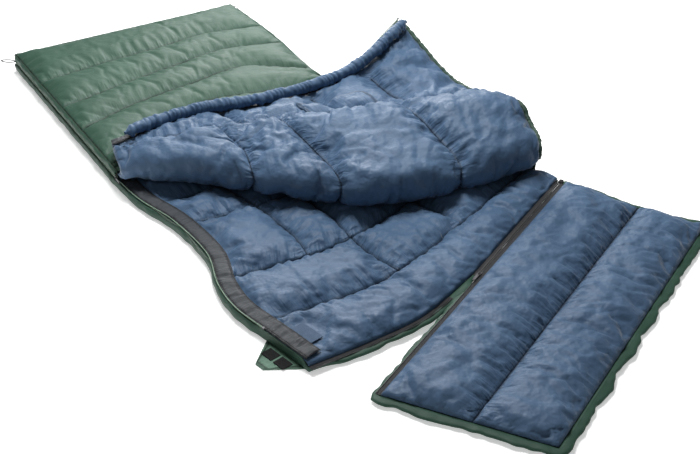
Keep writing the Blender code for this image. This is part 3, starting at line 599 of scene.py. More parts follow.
under_facing = (bottom.side < FACING_BED) & (bottom_rows[:, None] > SPLIT_ROW - 0.01)
beside = np.clip((bottom.side - FACING_BED) / 0.03, 0, 1)
opened = smooth_step((bottom_rows - SPLIT_ROW) / 0.02)[:, None]
bed = BED_HEIGHT + (0.0175 - BED_HEIGHT) * np.sqrt(1 - (1 - beside) ** 2)
heights = heights * (1 - opened) + np.minimum(heights, bed) * opened
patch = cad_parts["tab_loop_patch"]
patch_corners = np.array([patch.matrix_world @ corner.co for corner in patch.data.vertices])
from_patch = np.linalg.norm((bottom.middle - patch_corners.mean(axis=0)) * (1, 1, 0), axis=-1)
patch_bed = from_patch < PATCH_BED
heights = np.minimum(heights, PATCH_BED_HEIGHT + np.clip(from_patch - PATCH_BED, 0, 1) * 0.5)
bottom_lining = quilted("bottom_quilt_lining", bottom, 1, heights, growth=0.065, pressure=6.0, cap=0.014,
                        flattened=under_facing | patch_bed)
dressed(bottom_lining, LINING, ["bottom_lining", "bottom_fill"], "bag", thickness=0.0010)

# ------------------------------------------------------------------ bottom shell
# The green outer cloth under the bottom layer. It lies flat on the floor and rolls up round the rim
# to the zip tape, or to the lining where the rim is free.

SHELL = quilt_cloth("taffeta_shell", (0.034, 0.084, 0.058), (0.024, 0.064, 0.043), (0.046, 0.106, 0.075),
                    roughness=0.54, sheen=0.04, thread=(0.006, 0.016, 0.011), crinkle=0.20, drawn_in=0.45)

RIM_STEP = 0.006
ZIPPED_RIM = [(0.0022, 0.0238), (0.0050, 0.0208), (0.0064, 0.0150), (0.0054, 0.0070), (0.0020, 0.0014),
              (-0.006, 0.0004)]
FREE_RIM = [(0.0004, 0.0112), (0.0090, 0.0108), (0.0165, 0.0095), (0.0180, 0.0055), (0.0100, 0.0010),
            (-0.006, 0.0004)]
HOOD_RIM = [(0.0004, 0.0112), (0.0040, 0.0100), (0.0070, 0.0080), (0.0070, 0.0050), (0.0030, 0.0010),
            (-0.006, 0.0004)]


def path_outward(path, closed=False):
    """Level directions square to a path, on its left, evened out where the path is closed."""
    if not closed:
        return unit(np.cross(UP, unit(np.gradient(path, axis=0) * (1, 1, 0))))
    heading = np.roll(path, -1, axis=0) - np.roll(path, 1, axis=0)
    outward = unit(np.cross(UP, unit(heading * (1, 1, 0))))
    for smoothing in range(3):
        outward = unit(outward + np.roll(outward, 1, axis=0) + np.roll(outward, -1, axis=0))
    outward[0] = outward[-1] = unit(outward[0] + outward[-1])
    return outward


def run_along(path):
    return np.concatenate([[0], np.cumsum(np.linalg.norm(np.diff(path, axis=0), axis=1))])


def even_path(path, step):
    """The same path with corners at even steps."""
    run = run_along(path)
    places = np.linspace(0, run[-1], int(run[-1] / step) + 1)
    return np.stack([np.interp(places, run, path[:, axis]) for axis in range(3)], axis=1)


def rolled_rim(name, path, outward, profiles, seed, depth=0.20):
    """A strip of cloth rolled round a rim. profiles holds one list of (out, up) per path point."""
    run = run_along(path)
    at_ends = np.clip(np.minimum(run, run[-1] - run) / 0.02, 0, 1)[:, None]
    out = profiles[..., 0]
    high = profiles[..., 1]
    steps = np.linspace(0, 1, profiles.shape[1])
    window = np.sin(math.pi * np.clip(steps * 1.05, 0, 1)) ** 0.7
    gathers = ripple(run[:, None], steps[None, :] * 0.03, seed, 0.085)
    gathers = (gathers + 0.55 * ripple(run[:, None], steps[None, :] * 0.03, seed + 1, 0.034)) * at_ends
    out = out * (1 + depth * gathers * window)
    high = high + 0.0016 * window * at_ends * ripple(run[:, None], 0 * steps[None, :], seed + 2, 0.04)
    points = path[:, None] + outward[:, None] * out[..., None] + UP * np.maximum(high, 0.0003)[..., None]
    flat = np.stack(np.broadcast_arrays(run[:, None], steps[None] * 0.03), axis=-1)
    far = np.full(out.shape, 1.0)
    return grid_piece(name, points, flat, {"cross": far, "lengthwise": far})[0]


def flatter(profiles, path, place, reach):
    """The same outlines pressed flat near a place, to leave room for what moves there."""
    near = np.linalg.norm((path - np.asarray(place)) * (1, 1, 0), axis=1)
    profiles = profiles.copy()
    profiles[..., 0] *= (0.12 + 0.88 * smooth_step((near - reach) / 0.025))[:, None]
    return profiles


def finer(profile, count=11):
    """A rim's outline with more corners on the same smooth curve."""
    return curve([(*point, 0) for point in profile], np.linspace(0, 1, count))[:, :2]


free_rim, hood_rim, zipped_rim = finer(FREE_RIM), finer(HOOD_RIM), finer(ZIPPED_RIM)


def rims_by_hood(path, reach, softness):
    """Rim outlines along a path: the low one beside the hood's zip and the free one elsewhere."""
    offset = path - HOOD_START
    beside = np.abs(offset @ HOOD_ACROSS) < RIM_OFFSET + reach
    beside &= offset @ HOOD_FLAT > (VEE_SHARE - 0.03) * HOOD_RUN
    share = np.convolve(beside.astype(float), np.ones(softness) / softness, "same")[:, None, None]
    return free_rim * (1 - share) + hood_rim * share


def underside(name, middle, columns, rows, seams):
    """The lower cloth of a layer, drawn up at its cross seams."""
    panel = Panel(middle, columns, rows, seams)
    hollow = panel.swell(loft=0.0118, reach=0.02, seam_height=0.0080)
    return grid_piece(name, panel.middle - panel.normal * hollow[..., None], panel.flat, panel.seams)[0]


shares = np.linspace(0, 1, 240)
rim_path = np.vstack([near_edge(1 - shares[:-1]), foot_edge(shares[:-1]), far_edge(shares[:-1]),
                      head_edge(1 - shares)])
rim_path = even_path(rim_path, RIM_STEP)
rim_out = path_outward(rim_path, closed=True)
rim_run = run_along(rim_path)
zipped_length = run_along(near_edge(1 - shares))[-1] + run_along(foot_edge(shares))[-1]
zipped_share = smooth_step((rim_run - 0.002) / 0.018) * (1 - smooth_step((rim_run - zipped_length) / 0.01))
rims = rims_by_hood(rim_path, 0.003, 3)
rims = rims * (1 - zipped_share[:, None, None]) + zipped_rim * zipped_share[:, None, None]
rims = flatter(rims, rim_path, near_edge(0.5 * (ZIP_END_ROW + 1.0)), 0.078)
rims = flatter(rims, rim_path, HOOD_END, 0.030)
lifted = rim_path + UP * head_rise(rim_path)[:, None]
bottom_roll = rolled_rim("bottom_roll", lifted, rim_out, rims, 31)

under_face = underside("under_face", bottom_surface, np.linspace(0, 1, 67), snapped(0, 1, 150, BOTTOM_CROSS),
                       BOTTOM_CROSS)
bottom_shell = joined("bottom_quilt_shell", [bottom_roll, under_face])
dressed(bottom_shell, SHELL, ["bottom_shell"], "bag", thickness=0.0006)

# ------------------------------------------------------------------ foot section cover
# The green outer cloth over the feet, sewn along four curved seams and pulled towards the open
# corner of the flap. It rolls down to the zip tape, and at the far side it runs on to the bottom.

TURN_RUN = 0.026
TURN_RADIUS = (0.020, 0.028)
FAR_INSET = 0.005
CREASE = [ZIP_SPLIT - (0, TURN_RUN, 0), plan(-0.550, -0.259), plan(-0.025, -0.541), plan(0.500, -0.624),
          plan(0.975, -0.680)]


def crease(u):
    return curve(CREASE, u)


def turn_back(u):
    u = np.asarray(u, float)
    return unit(np.stack([0.6 * u, np.ones_like(u), 0 * u], axis=-1)) * TURN_RUN


def turn_start(u):
    return crease(u) + turn_back(u)


# Height along Y of each seam from the zip side to the far side
FOOT_SEAMS = [[0.625, 0.662, 0.682, 0.705, 0.660], [0.430, 0.483, 0.525, 0.555, 0.500],
              [0.274, 0.345, 0.379, 0.405, 0.290], [0.100, 0.200, 0.250, 0.213, 0.170],
              [0.055, 0.060, 0.050, 0.000, -0.050], [0.035, -0.030, -0.120, -0.200, -0.280]]
side_shares = np.linspace(0, 1, 200)
far_side = curve([FOOT_FAR] + FAR_EDGE + [turn_start(1.0) + (FAR_INSET, 0, 0)], side_shares)
far_side = far_side - (FAR_INSET, 0, 0)
near_side = lerp(FOOT_NEAR, turn_start(0.0), side_shares)


def foot_seam(heights, u):
    """A seam across the foot section, from edge to edge."""
    along = curve([(0, height, 0) for height in heights], u)[..., 1]
    left = np.interp(-along, -near_side[:, 1], near_side[:, 0])
    right = np.interp(-along, -far_side[:, 1], far_side[:, 0])
    return np.stack([left + (right - left) * u, along, 0 * along], axis=-1)


def foot_middle(u, v):
    """The middle of the foot section: v counts its seams, from the foot edge to the crease."""
    u, v = np.broadcast_arrays(u, v)
    seams = [foot_seam(seam, u) for seam in FOOT_SEAMS]
    lines = np.stack([lerp(near_side[0], far_side[0], u)] + seams + [turn_start(u)])
    index = np.minimum(v.astype(int), len(FOOT_SEAMS))
    share = (v - index)[..., None]
    rows, columns = np.indices(v.shape)
    point = lines[index, rows, columns] * (1 - share) + lines[index + 1, rows, columns] * share
    return point + UP * (TOP_MIDDLE + head_rise(point))[..., None]


foot_rows = spaced((0, 1, 44), (1, 2, 32), (2, 3, 28), (3, 4, 28), (4, 7, 34))
foot = Panel(foot_middle, np.linspace(0, 1, 131), foot_rows, [1, 2, 3, 4, 5, 6])
heights = foot.swell(loft=0.0165, reach=0.060, seam_height=0.0035, near=0.004,
                     far=0.004, first=0.004, last=0.008)
sewn_heights = heights + foot.puckers(seed=41, depth=0.0013)
near_strip = np.exp(-foot.side / 0.07) * np.clip(foot.side / 0.02, 0, 1)
sewn_heights += 0.0022 * near_strip * ripple(foot.down, foot.side * 0.4, 47, 0.035)
pull_x = foot.middle[..., 0] - 0.27
pull_y = foot.middle[..., 1] - 0.30
pull = np.exp(-((pull_y + pull_x * 0.9) / 0.018) ** 2) * np.exp(-((pull_x - pull_y * 0.9) / 0.13) ** 2)
second_pull = np.exp(-((pull_y + 0.06 + pull_x * 0.5) / 0.02) ** 2) * np.exp(-((pull_x) / 0.12) ** 2)
sewn_heights -= 0.011 * pull * np.clip(foot.edges["far"] / 0.02, 0, 1) + 0.006 * second_pull
foot_cover = quilted("foot_quilt_shell", foot, 1, sewn_heights, growth=0.014, pressure=3.5, cap=0.010)

TOP_ZIPPED_RIM = [(0.0, 0.0520), (0.0038, 0.0498), (0.0062, 0.0460), (0.0060, 0.0410), (0.0040, 0.0378),
                  (0.0022, 0.0364)]
FAR_WALL = [(0.0, 0.0520), (0.0060, 0.0500), (0.0105, 0.0400), (0.0090, 0.0250), (0.0110, 0.0120),
            (0.0020, 0.0040)]
zip_side = even_path(np.vstack([turn_start(0.0)[None], near_side[::-1][1:-4],
                                lerp(near_side[0], far_side[0], np.linspace(0.008, 1, 150))]), RIM_STEP)
zip_out = path_outward(zip_side)
for smoothing in range(4):
    zip_out[1:-1] = unit(zip_out[1:-1] + zip_out[2:] + zip_out[:-2])
top_rim = flatter(finer(TOP_ZIPPED_RIM)[None].repeat(len(zip_side), 0), zip_side, far_side[0], 0.030)
zip_roll = rolled_rim("zip_roll", zip_side, zip_out, top_rim, 51, 0.3)
wall_path = even_path(far_side, RIM_STEP)
wall_path = wall_path + UP * head_rise(wall_path)[:, None]
far_wall = flatter(finer(FAR_WALL)[None].repeat(len(wall_path), 0), wall_path, far_side[0], 0.030)
wall = rolled_rim("far_wall", wall_path, path_outward(wall_path), far_wall, 55, 0.2)
foot_cover = joined("foot_quilt_shell", [foot_cover, zip_roll, wall], 0.0001)
dressed(foot_cover, SHELL, ["top_shell", "far_side_fold", "top_fill"],
        "bag", thickness=0.0008)

# ------------------------------------------------------------------ flap lining
# The blue inner cloth where the top layer is thrown back. It turns up at the crease, climbs to the
# ridge and runs on down to the flap's zip edge.

FLAP_HEIGHT = 0.255
ZIP_BED = 0.033


def raised(across, along, share):
    return plan(across, along, share * FLAP_HEIGHT)


FRONT = [raised(-1.063, 0.033, 0.360), raised(-0.500, -0.165, 0.410), raised(0.013, -0.388, 0.463),
         raised(0.525, -0.518, 0.549), raised(1.063, -0.588, 0.608)]
VALLEY = [raised(-1.038, 0.071, 0.360), raised(-0.500, 0.018, 0.410), raised(0.025, -0.100, 0.463),
          raised(0.538, -0.200, 0.549), raised(1.075, -0.259, 0.608)]
FLAP_EDGE = [raised(-1.025, 0.092, 0.355), raised(-0.500, 0.118, 0.365), raised(0.025, 0.035, 0.439),
             raised(0.525, -0.024, 0.627), raised(1.038, 0.012, 1.000)]
RIDGE_NEAR = raised(-1.050, 0.053, 0.418)
RIDGE_FAR = raised(1.075, -0.512, 0.784)
RIDGE_ALONG = unit((RIDGE_FAR - RIDGE_NEAR) * (1, 1, 0))
RIDGE_BACK = np.cross(UP, RIDGE_ALONG)
FACING_ROW = 6.6


def flap_lines(u):
    """The layer's control lines, from one row before the turn to one row past the flap's edge."""
    u = np.asarray(u, float)
    low = UP * (TOP_MIDDLE + head_rise(turn_start(u)))[..., None]
    radius = (TURN_RADIUS[0] + (TURN_RADIUS[1] - TURN_RADIUS[0]) * smooth_step(2 * u))[..., None]
    start = turn_start(u) + low
    edge = curve(FLAP_EDGE, u)
    valley = curve(VALLEY, u)
    return np.stack([start + turn_back(u), start, crease(u) + low + UP * radius,
                     crease(u) + turn_back(u) * 0.8 + low + 2 * UP * radius, curve(FRONT, u),
                     lerp(RIDGE_NEAR, RIDGE_FAR, u) - UP * LAYER / 2, valley, edge, 2 * edge - valley])


def flap_middle(u, v):
    """The middle of the top layer from the turn (row 1) over the ridge (row 5) to its edge (row 7)."""
    u, v = np.broadcast_arrays(u, v)
    lines = flap_lines(u)
    index = np.clip(v.astype(int), 1, 6)
    rows, columns = np.indices(v.shape)
    corners = [lines[index + step, rows, columns] for step in (-1, 0, 1)]
    after = lines[np.minimum(index + 2, 8), rows, columns]
    after = np.where((index == 6)[..., None], 2 * lines[7] - lines[6], after)
    return between(*corners, after, (v - index)[..., None])


FLAP_LENGTHWISE = [(0.28, 1, 5.5), (0.44, 1, 5.5), (0.745, 1, 5.5), (0.34, 5.5, 6.6), (0.60, 5.5, 6.6),
                   (0.80, 5.5, 6.6)]
flap_columns = snapped(0, 1, 150, [share for share, first, last in FLAP_LENGTHWISE])
flap_rows = spaced((1, 3, 16), (3, 5, 40), (5, 5.5, 8), (5.5, 7, 26))
flap = Panel(flap_middle, flap_columns, flap_rows, [5.5], FLAP_LENGTHWISE)
heights = flap.swell(loft=0.0175, reach=0.050, seam_height=0.0005, near=0.003,
                     far=0.003, first=0.008, last=0.006)
heights += flap.puckers(seed=61, depth=0.0042)
climb = smooth_step((flap_rows[:, None] - 2.5) / 1.5) * (1 - smooth_step((flap_rows[:, None] - 5.0) / 0.5))
inside = np.clip(np.minimum(flap.lengthwise, flap.side) / 0.03, 0, 1)
inside *= np.clip(flap.edges["far"] / 0.03, 0, 1)
heights += 0.0034 * climb * inside * ripple(flap.side, flap.down * 0.22, 67, 0.042)
beyond = np.clip((flap.edges["last"] - ZIP_BED) / 0.025, 0, 1)
heights = np.minimum(heights, 0.0085 + 0.012 * np.sqrt(1 - (1 - beyond) ** 2))
by_zip = flap.edges["last"] < ZIP_BED
flap_lining = quilted("flap_quilt_lining", flap, -1, heights, growth=0.075, pressure=6.0, cap=0.017,
                      flattened=by_zip)
RIDGE_MIDDLE = lerp(RIDGE_NEAR, RIDGE_FAR, 0.5)
BEND_REACH = 0.014
ridge_bend = [tuple(map(float, RIDGE_MIDDLE + RIDGE_BACK * reach)) for reach in (-BEND_REACH, BEND_REACH)]
dressed(flap_lining, LINING, ["top_lining", "flap_lining", "flap_fill"], bend=ridge_bend,
        thickness=0.0010)

# ------------------------------------------------------------------ flap shell
# The green outer cloth on the underside of the thrown-back layer, rolled round its head edge.

shell_rows = np.linspace(2, 7, 60)
flap_under = Panel(flap_middle, np.linspace(0, 1, 90), shell_rows, [5.5], [])
heights = flap_under.swell(loft=0.0125, reach=0.040, seam_height=0.0030, near=0.001,
                           far=0.001, first=0.006, last=0.004)
heights += flap_under.puckers(seed=71, depth=0.0016)
flap_shell = quilted("flap_quilt_shell", flap_under, 1, heights, growth=0.030, pressure=3.0, cap=0.008)
dressed(flap_shell, SHELL, ["flap_shell"], bend=ridge_bend, thickness=0.0008)

# ------------------------------------------------------------------ hood lining and shell
# The pillow panel: blue lining over green shell, with one seam along its middle, gathered at its
# free edges and flat to the zip tape on the body's side.

HOOD_DEPTH = 0.333
HOOD_SKEW = 0.052


def hood_middle(u, v):
    u, v = np.broadcast_arrays(u, v)
    edge = lerp(HOOD_START, HOOD_END, u) - HOOD_ACROSS * (RIM_OFFSET + 0.0003)
    reach = -HOOD_ACROSS * (HOOD_DEPTH - RIM_OFFSET) + HOOD_FLAT * HOOD_SKEW
    height = BOTTOM_MIDDLE + (edge[..., 2] - BOTTOM_MIDDLE) * (1 - v) ** 2
    point = edge + reach * v[..., None]
    return np.stack([point[..., 0], point[..., 1], height], axis=-1)


HOOD_SEAM = 0.53
hood = Panel(hood_middle, np.linspace(0, 1, 151), snapped(0, 1, 58, [HOOD_SEAM]), [HOOD_SEAM])
heights = hood.swell(loft=0.0155, reach=0.060, seam_height=-0.002, near=0.0010,
                     far=0.0010, first=0.0015, last=0.0010)
heights += hood.puckers(seed=81, depth=0.0036)
heights += 0.0020 * np.clip(heights / 0.012, 0, 1) * ripple(hood.side * 0.5, hood.down, 83, 0.06)
hood_lining = quilted("hood_quilt_lining", hood, 1, heights, growth=0.065, pressure=6.0, cap=0.014)
dressed(hood_lining, LINING, ["hood_lining", "hood_fill"], "hood", thickness=0.0010)

down, across = np.linspace(0, 1, 60), np.linspace(0, 1, 150)
hood_sides = [(0 * down, down), (across[1:], 0 * across[1:] + 1), (0 * down[1:] + 1, 1 - down[1:]),
              (1 - across[1:], 0 * across[1:])]
hood_path = even_path(np.vstack([hood_middle(u, v) for u, v in hood_sides]), RIM_STEP)
hood_out = -path_outward(hood_path * (1, 1, 0), closed=True)
rims = rims_by_hood(hood_path, 0.004, 9)
hood_roll = rolled_rim("hood_roll", hood_path - UP * BOTTOM_MIDDLE, hood_out, rims, 91)
hood_face = underside("hood_face", hood_middle, np.linspace(0, 1, 90), snapped(0, 1, 34, [HOOD_SEAM]),
                      [HOOD_SEAM])
hood_shell = joined("hood_quilt_shell", [hood_roll, hood_face])
dressed(hood_shell, SHELL, ["hood_shell", "hood_binding"], "hood", thickness=0.0006)

# ------------------------------------------------------------------ draft tube
# A soft tube of lining along the flap's zip, gathered onto its tape so that it puckers all round.

DRAFT_TUBE_RADIUS = 0.014
tube_shares = np.linspace(0.04, 1, 360)
rows = np.array([FACING_ROW, 6.9, 7.0])
seat = flap_middle(tube_shares[None], rows[:, None])
tube_heading = unit(seat[2] - seat[1])
tube_along = unit(np.gradient(seat[0], axis=0))
tube_up = -unit(np.cross(tube_heading, tube_along))
tube_up = tube_up * np.sign(tube_up[:, 2:])
tube_middle = seat[2] - tube_heading * 0.028 + tube_up * (LAYER / 2 + 0.0046 + DRAFT_TUBE_RADIUS)
turns = np.linspace(0, math.tau, 37)
run = run_along(tube_middle)[:, None]
swirl = np.stack([np.cos(turns), np.sin(turns)]) * 0.004
gathers = folds(run + swirl[:1], swirl[1:], 101, 0.034) + 0.8 * folds(run + swirl[1:], swirl[:1], 102, 0.070)
seam_side = 0.5 + 0.5 * np.cos(turns - math.radians(200))[None]
radius = DRAFT_TUBE_RADIUS * (1.10 + 0.19 * gathers * (0.5 + 0.5 * seam_side))
radius = radius * (1 + 0.10 * ripple(run, 0 * turns[None], 103, 0.11))
end_taper = np.clip(run / 0.02, 0.25, 1) * np.clip((run[-1] - run) / 0.012, 0.35, 1)
radius = radius * end_taper
radius[:, -1] = radius[:, 0]
ring = tube_heading[:, None] * np.cos(turns)[None, :, None] + tube_up[:, None] * np.sin(turns)[None, :, None]
tube_points = tube_middle[:, None] + ring * radius[..., None]
flat = np.stack(np.broadcast_arrays(turns[None] * DRAFT_TUBE_RADIUS, run), axis=-1)
far = np.full(radius.shape, 1.0)
draft_tube = grid_piece("draft_tube_cloth", tube_points, flat, {"cross": far, "lengthwise": far}, True)[0]
draft_tube = joined("draft_tube_cloth", [draft_tube], 0.00005)
dressed(draft_tube, LINING, ["draft_tube"], "flap")

# ------------------------------------------------------------------ facings
# Dark woven strips sewn flat inside both zip edges, which pucker a little between their stitches.

FACING = quilt_cloth("dark_facing", (0.046, 0.052, 0.060), (0.035, 0.040, 0.047), (0.060, 0.067, 0.076),
                     roughness=0.60, sheen=0.12, thread=(0.012, 0.012, 0.012), crinkle=0.35, drawn_in=0.5)
FACING_WIDTH = 0.038
FLAP_FACING_WIDTH = 0.030


def facing_strip(name, rim, inboard, up, node, body, seed):
    """A puckered strip from a rim inwards, sewn along both edges."""
    run = run_along(rim)[:, None]
    shares = np.linspace(0, 1, 11)[None]
    ends = np.linalg.norm(inboard, axis=1)[:, None]
    rise = np.sin(math.pi * shares) ** 0.6
    height = 0.0028 * rise + 0.0024 * rise * ripple(run, shares * 0.012, seed, 0.030)
    height += 0.0012 * rise * ripple(run, shares * 0.02, seed + 1, 0.012)
    points = rim[:, None] + inboard[:, None] * shares[..., None] + up[:, None] * height[..., None]
    flat = np.stack([run + 0 * shares, shares * ends], axis=-1)
    hem = np.minimum(np.abs(shares - 0.08), np.abs(shares - 0.92)) * ends
    strip = grid_piece(name, points, flat, {"cross": hem, "lengthwise": hem + 1})[0]
    apply(strip, "SOLIDIFY", thickness=0.0012, offset=0)
    dressed(strip, FACING, [node], body)


facing_path = near_edge(np.linspace(SPLIT_ROW + 0.002, 0.995, 190))
inward = path_outward(facing_path)
lower_rim = facing_path + inward * 0.0005 + UP * (LAYER + 0.0012)
facing_strip("lower_facing_strip", lower_rim, inward * FACING_WIDTH, np.repeat(UP[None], len(lower_rim), 0),
             "facing_lower", "bag", 111)
edge_shares = np.linspace(0.0, 1, 170)
edge = flap_middle(edge_shares[None], np.array([[FACING_ROW], [6.99]]))
edge_normal = unit(np.cross(np.gradient(edge[1], axis=0), edge[0] - edge[1]))
edge_normal = edge_normal * np.sign(edge_normal[:, 2:])
flap_inboard = unit(edge[0] - edge[1]) * FLAP_FACING_WIDTH
facing_strip("flap_facing_strip", edge[1] + edge_normal * (LAYER / 2 + 0.001), flap_inboard, edge_normal,
             "flap_facing", "flap", 115)

# ------------------------------------------------------------------ inner pocket
# A small patch of lining sewn onto the flap's inner side, with a doubled hem at its mouth.

POCKET_COLUMNS = (0.52, 0.72)
POCKET_ROWS = (5.5, 6.0)
POCKET_WIDTH = 0.16
POCKET_DEPTH = 0.07
HEM = 0.004

pocket_columns = np.nonzero((flap_columns >= POCKET_COLUMNS[0]) & (flap_columns <= POCKET_COLUMNS[1]))[0]
pocket_rows = np.nonzero((flap_rows >= POCKET_ROWS[0]) & (flap_rows <= POCKET_ROWS[1] + 0.1))[0]
bed = flap.settled[np.ix_(pocket_rows, pocket_columns)]
for smoothing in range(3):
    beside = bed[2:, 1:-1] + bed[:-2, 1:-1] + bed[1:-1, 2:] + bed[1:-1, :-2]
    bed[1:-1, 1:-1] = 0.2 * (bed[1:-1, 1:-1] + beside)
pocket_out = -unit(np.cross(np.gradient(bed, axis=0), np.gradient(bed, axis=1)))
pocket_side = np.linspace(0, 1, len(pocket_columns))[None] + 0 * bed[..., 0]
pocket_down = np.linspace(0, 1, len(pocket_rows))[:, None] + 0 * bed[..., 0]
pocket_side = pocket_side * POCKET_WIDTH
pocket_down = pocket_down * POCKET_DEPTH
border = np.minimum(np.minimum(pocket_side, POCKET_WIDTH - pocket_side),
                    np.minimum(pocket_down, POCKET_DEPTH - pocket_down))
pocket_height = 0.0022 + 0.0035 * smooth_step(border / 0.015)
pocket_height += 0.0010 * ripple(pocket_side, pocket_down, 121, 0.03)
flat = np.stack([pocket_side, pocket_down], axis=-1)
hem = np.abs(border - HEM)
pocket = grid_piece("pocket_patch", bed + pocket_out * pocket_height[..., None], flat,
                    {"cross": hem, "lengthwise": hem + 1})[0]
apply(pocket, "SUBSURF", levels=1, render_levels=1)
dressed(pocket, LINING, ["inner_pocket"], "flap", thickness=0.0022)

# ------------------------------------------------------------------ head edge bindings
# Folded strips of shell cloth that bind the head edge of the thrown-back layer, gathered as they go
# round. One half stays with the bag, the other moves with the flap.

BINDING_RADIUS = 0.0062
BINDING_OUT = 0.0049


def plain_cloth(name, colour, light, roughness, weave):
    """Woven trim: two crossed threads, a little fuzz and rubbed, lighter spots."""
    trim = Finish(name, colour, roughness, sheen_weight=0.2, specular_ior_level=0.3)
    place = trim.place()
    worn = trim.noise(place, 60.0, 3.0)
    trim.rub(worn, 1.4, 0.3, colour, light, roughness - 0.08, 0.15)
    at = {"Vector": place, "Scale": weave}
    threads, other = (trim.node("ShaderNodeTexWave", {"bands_direction": way}, at) for way in ("DIAGONAL", "Y"))
    ground = trim.bump(threads + other, 0.0003, 0.5)
    fuzz = trim.bump(trim.noise(place, 420.0, 2.0), 0.0004, 0.5, ground)
    trim.set("Normal", fuzz)
    return trim.material


TRIM = plain_cloth("green_trim", (0.024, 0.060, 0.040), (0.045, 0.095, 0.066), 0.55, 260)


def tube_piece(name, path, turns, size, flat, merge):
    """A closed tube along a path: size holds its radius at each place and turn."""
    along = unit(np.gradient(path, axis=0))
    side = unit(np.cross(along, UP))
    top = np.cross(side, along)
    ring = side[:, None] * np.cos(turns)[..., None] + top[:, None] * np.sin(turns)[..., None]
    tube = grid_piece(name, path[:, None] + ring * size[..., None], flat, None, True)[0]
    return joined(name, [tube], merge)


def head_side(v):
    """Just outside the layer's head edge."""
    ends = flap_middle(np.array([0.98, 1.0])[None], np.asarray(v)[:, None])
    return ends[:, 1] + unit(ends[:, 1] - ends[:, 0]) * BINDING_OUT


def binding(name, rows, node, body, seed):
    """A gathered tube of cloth along some rows of the head edge, closed at both ends."""
    path = even_path(head_side(rows), 0.0022)
    run = run_along(path)[:, None]
    turns = np.linspace(0, math.tau, 15)[None]
    size = 1 + 0.22 * folds(run + 0.003 * np.cos(turns), 0.003 * np.sin(turns), seed, 0.03)
    size = BINDING_RADIUS * size * np.sqrt(np.clip(np.minimum(run, run[-1] - run) / 0.004, 0.0004, 1))
    size[:, -1] = size[:, 0]
    flat = np.stack(np.broadcast_arrays(turns * BINDING_RADIUS, run), axis=-1)
    dressed(tube_piece(name, path, turns, size, flat, 0.00003), TRIM, [node], body)


binding("head_binding_bag", np.linspace(1.6, 4.97, 60), "top_head_binding", "bag", 131)
binding("head_binding_flap", np.linspace(5.03, 7, 50), "flap_head_binding", "flap", 133)

# ------------------------------------------------------------------ zip coils
# Nylon coils sewn along the tapes: light green on the main zip and black on the hood's zip. Each
# turn of the coil is a bead on the cord.

COIL_RADIUS = 0.0012
COIL_SPACING = 0.0040
COIL_PITCH = 0.0024
TAPE_PLANE = 0.0007
CORNER_RADIUS = 0.010


def nylon(name, colour, light):
    coil = Finish(name, colour, 0.38, specular_ior_level=0.5)
    rubbed = coil.noise(coil.place(), 90.0, 3.0)
    coil.rub(rubbed, 1.3, 0.25, colour, light, 0.32, 0.2)
    coil.set("Normal", coil.bump(coil.noise(coil.place(), 900.0, 2.0), 0.0002, 0.4))
    return coil.material


GREEN_COIL = nylon("green_coil", (0.16, 0.27, 0.19), (0.30, 0.42, 0.31))
BLACK_COIL = nylon("black_coil", (0.012, 0.012, 0.013), (0.035, 0.036, 0.038))


def coil(path, node, body, material, plump=1.0):
    """A beaded cord along a path: one bead for each turn of the coil."""
    path = even_path(path, COIL_PITCH / 4)
    turns = np.linspace(0, math.tau, 7)[None]
    beads = 0.78 + 0.30 * np.abs(np.sin(np.arange(len(path)) * math.pi / 4))[:, None] + 0 * turns
    beads[0] = 0.05
    beads[-1] = 0.05
    cord = tube_piece(node + "_beads", path, turns, beads * COIL_RADIUS * plump, None, 0.00002)
    dressed(cord, material, [node], body)


side_out = path_outward(np.stack([ZIP_SPLIT, FOOT_NEAR]))[0]
foot_out = path_outward(np.stack([FOOT_NEAR, FOOT_FAR]))[0]
foot_along = unit(FOOT_FAR - FOOT_NEAR)
side_along = unit(FOOT_NEAR - ZIP_SPLIT)
quarter = np.linspace(0, 1, 9)[1:-1, None]
bend_out = unit(side_out * (1 - quarter) + foot_out * quarter)
bend = FOOT_NEAR - (side_along + side_out) * CORNER_RADIUS + unit(side_out + foot_out) * 0.0035
bend = bend + bend_out * CORNER_RADIUS
closed_rim = np.vstack([ZIP_SPLIT, FOOT_NEAR - side_along * CORNER_RADIUS, bend,
                        FOOT_NEAR + foot_along * CORNER_RADIUS, FOOT_FAR - foot_along * CORNER_RADIUS])
closed_out = np.vstack([side_out, side_out, bend_out, foot_out, foot_out])
open_rim = near_edge(np.linspace(ZIP_END_ROW, SPLIT_ROW, 120))
open_out = path_outward(open_rim)
half = COIL_SPACING / 2
upper_path = closed_rim + closed_out * TAPE_PLANE + UP * (ZIP_HEIGHT + half)
lower_path = np.vstack([open_rim + open_out * TAPE_PLANE, (closed_rim + closed_out * TAPE_PLANE)[1:]])
coil(lower_path + UP * (ZIP_HEIGHT - half), "main_coil_lower", "bag", GREEN_COIL)
coil(upper_path, "main_coil_upper", "bag", GREEN_COIL)
flap_ends = flap_middle(np.linspace(0, 1, 160)[None], np.array([[6.9], [7.0]]))
flap_heading = unit(flap_ends[1] - flap_ends[0])
coil(flap_ends[1] + flap_heading * 0.0096, "flap_coil", "flap", GREEN_COIL)


def hood_zip_line(start, end, side):
    return lerp(HOOD_START, HOOD_END, np.array([start, end])) + HOOD_ACROSS * side * half


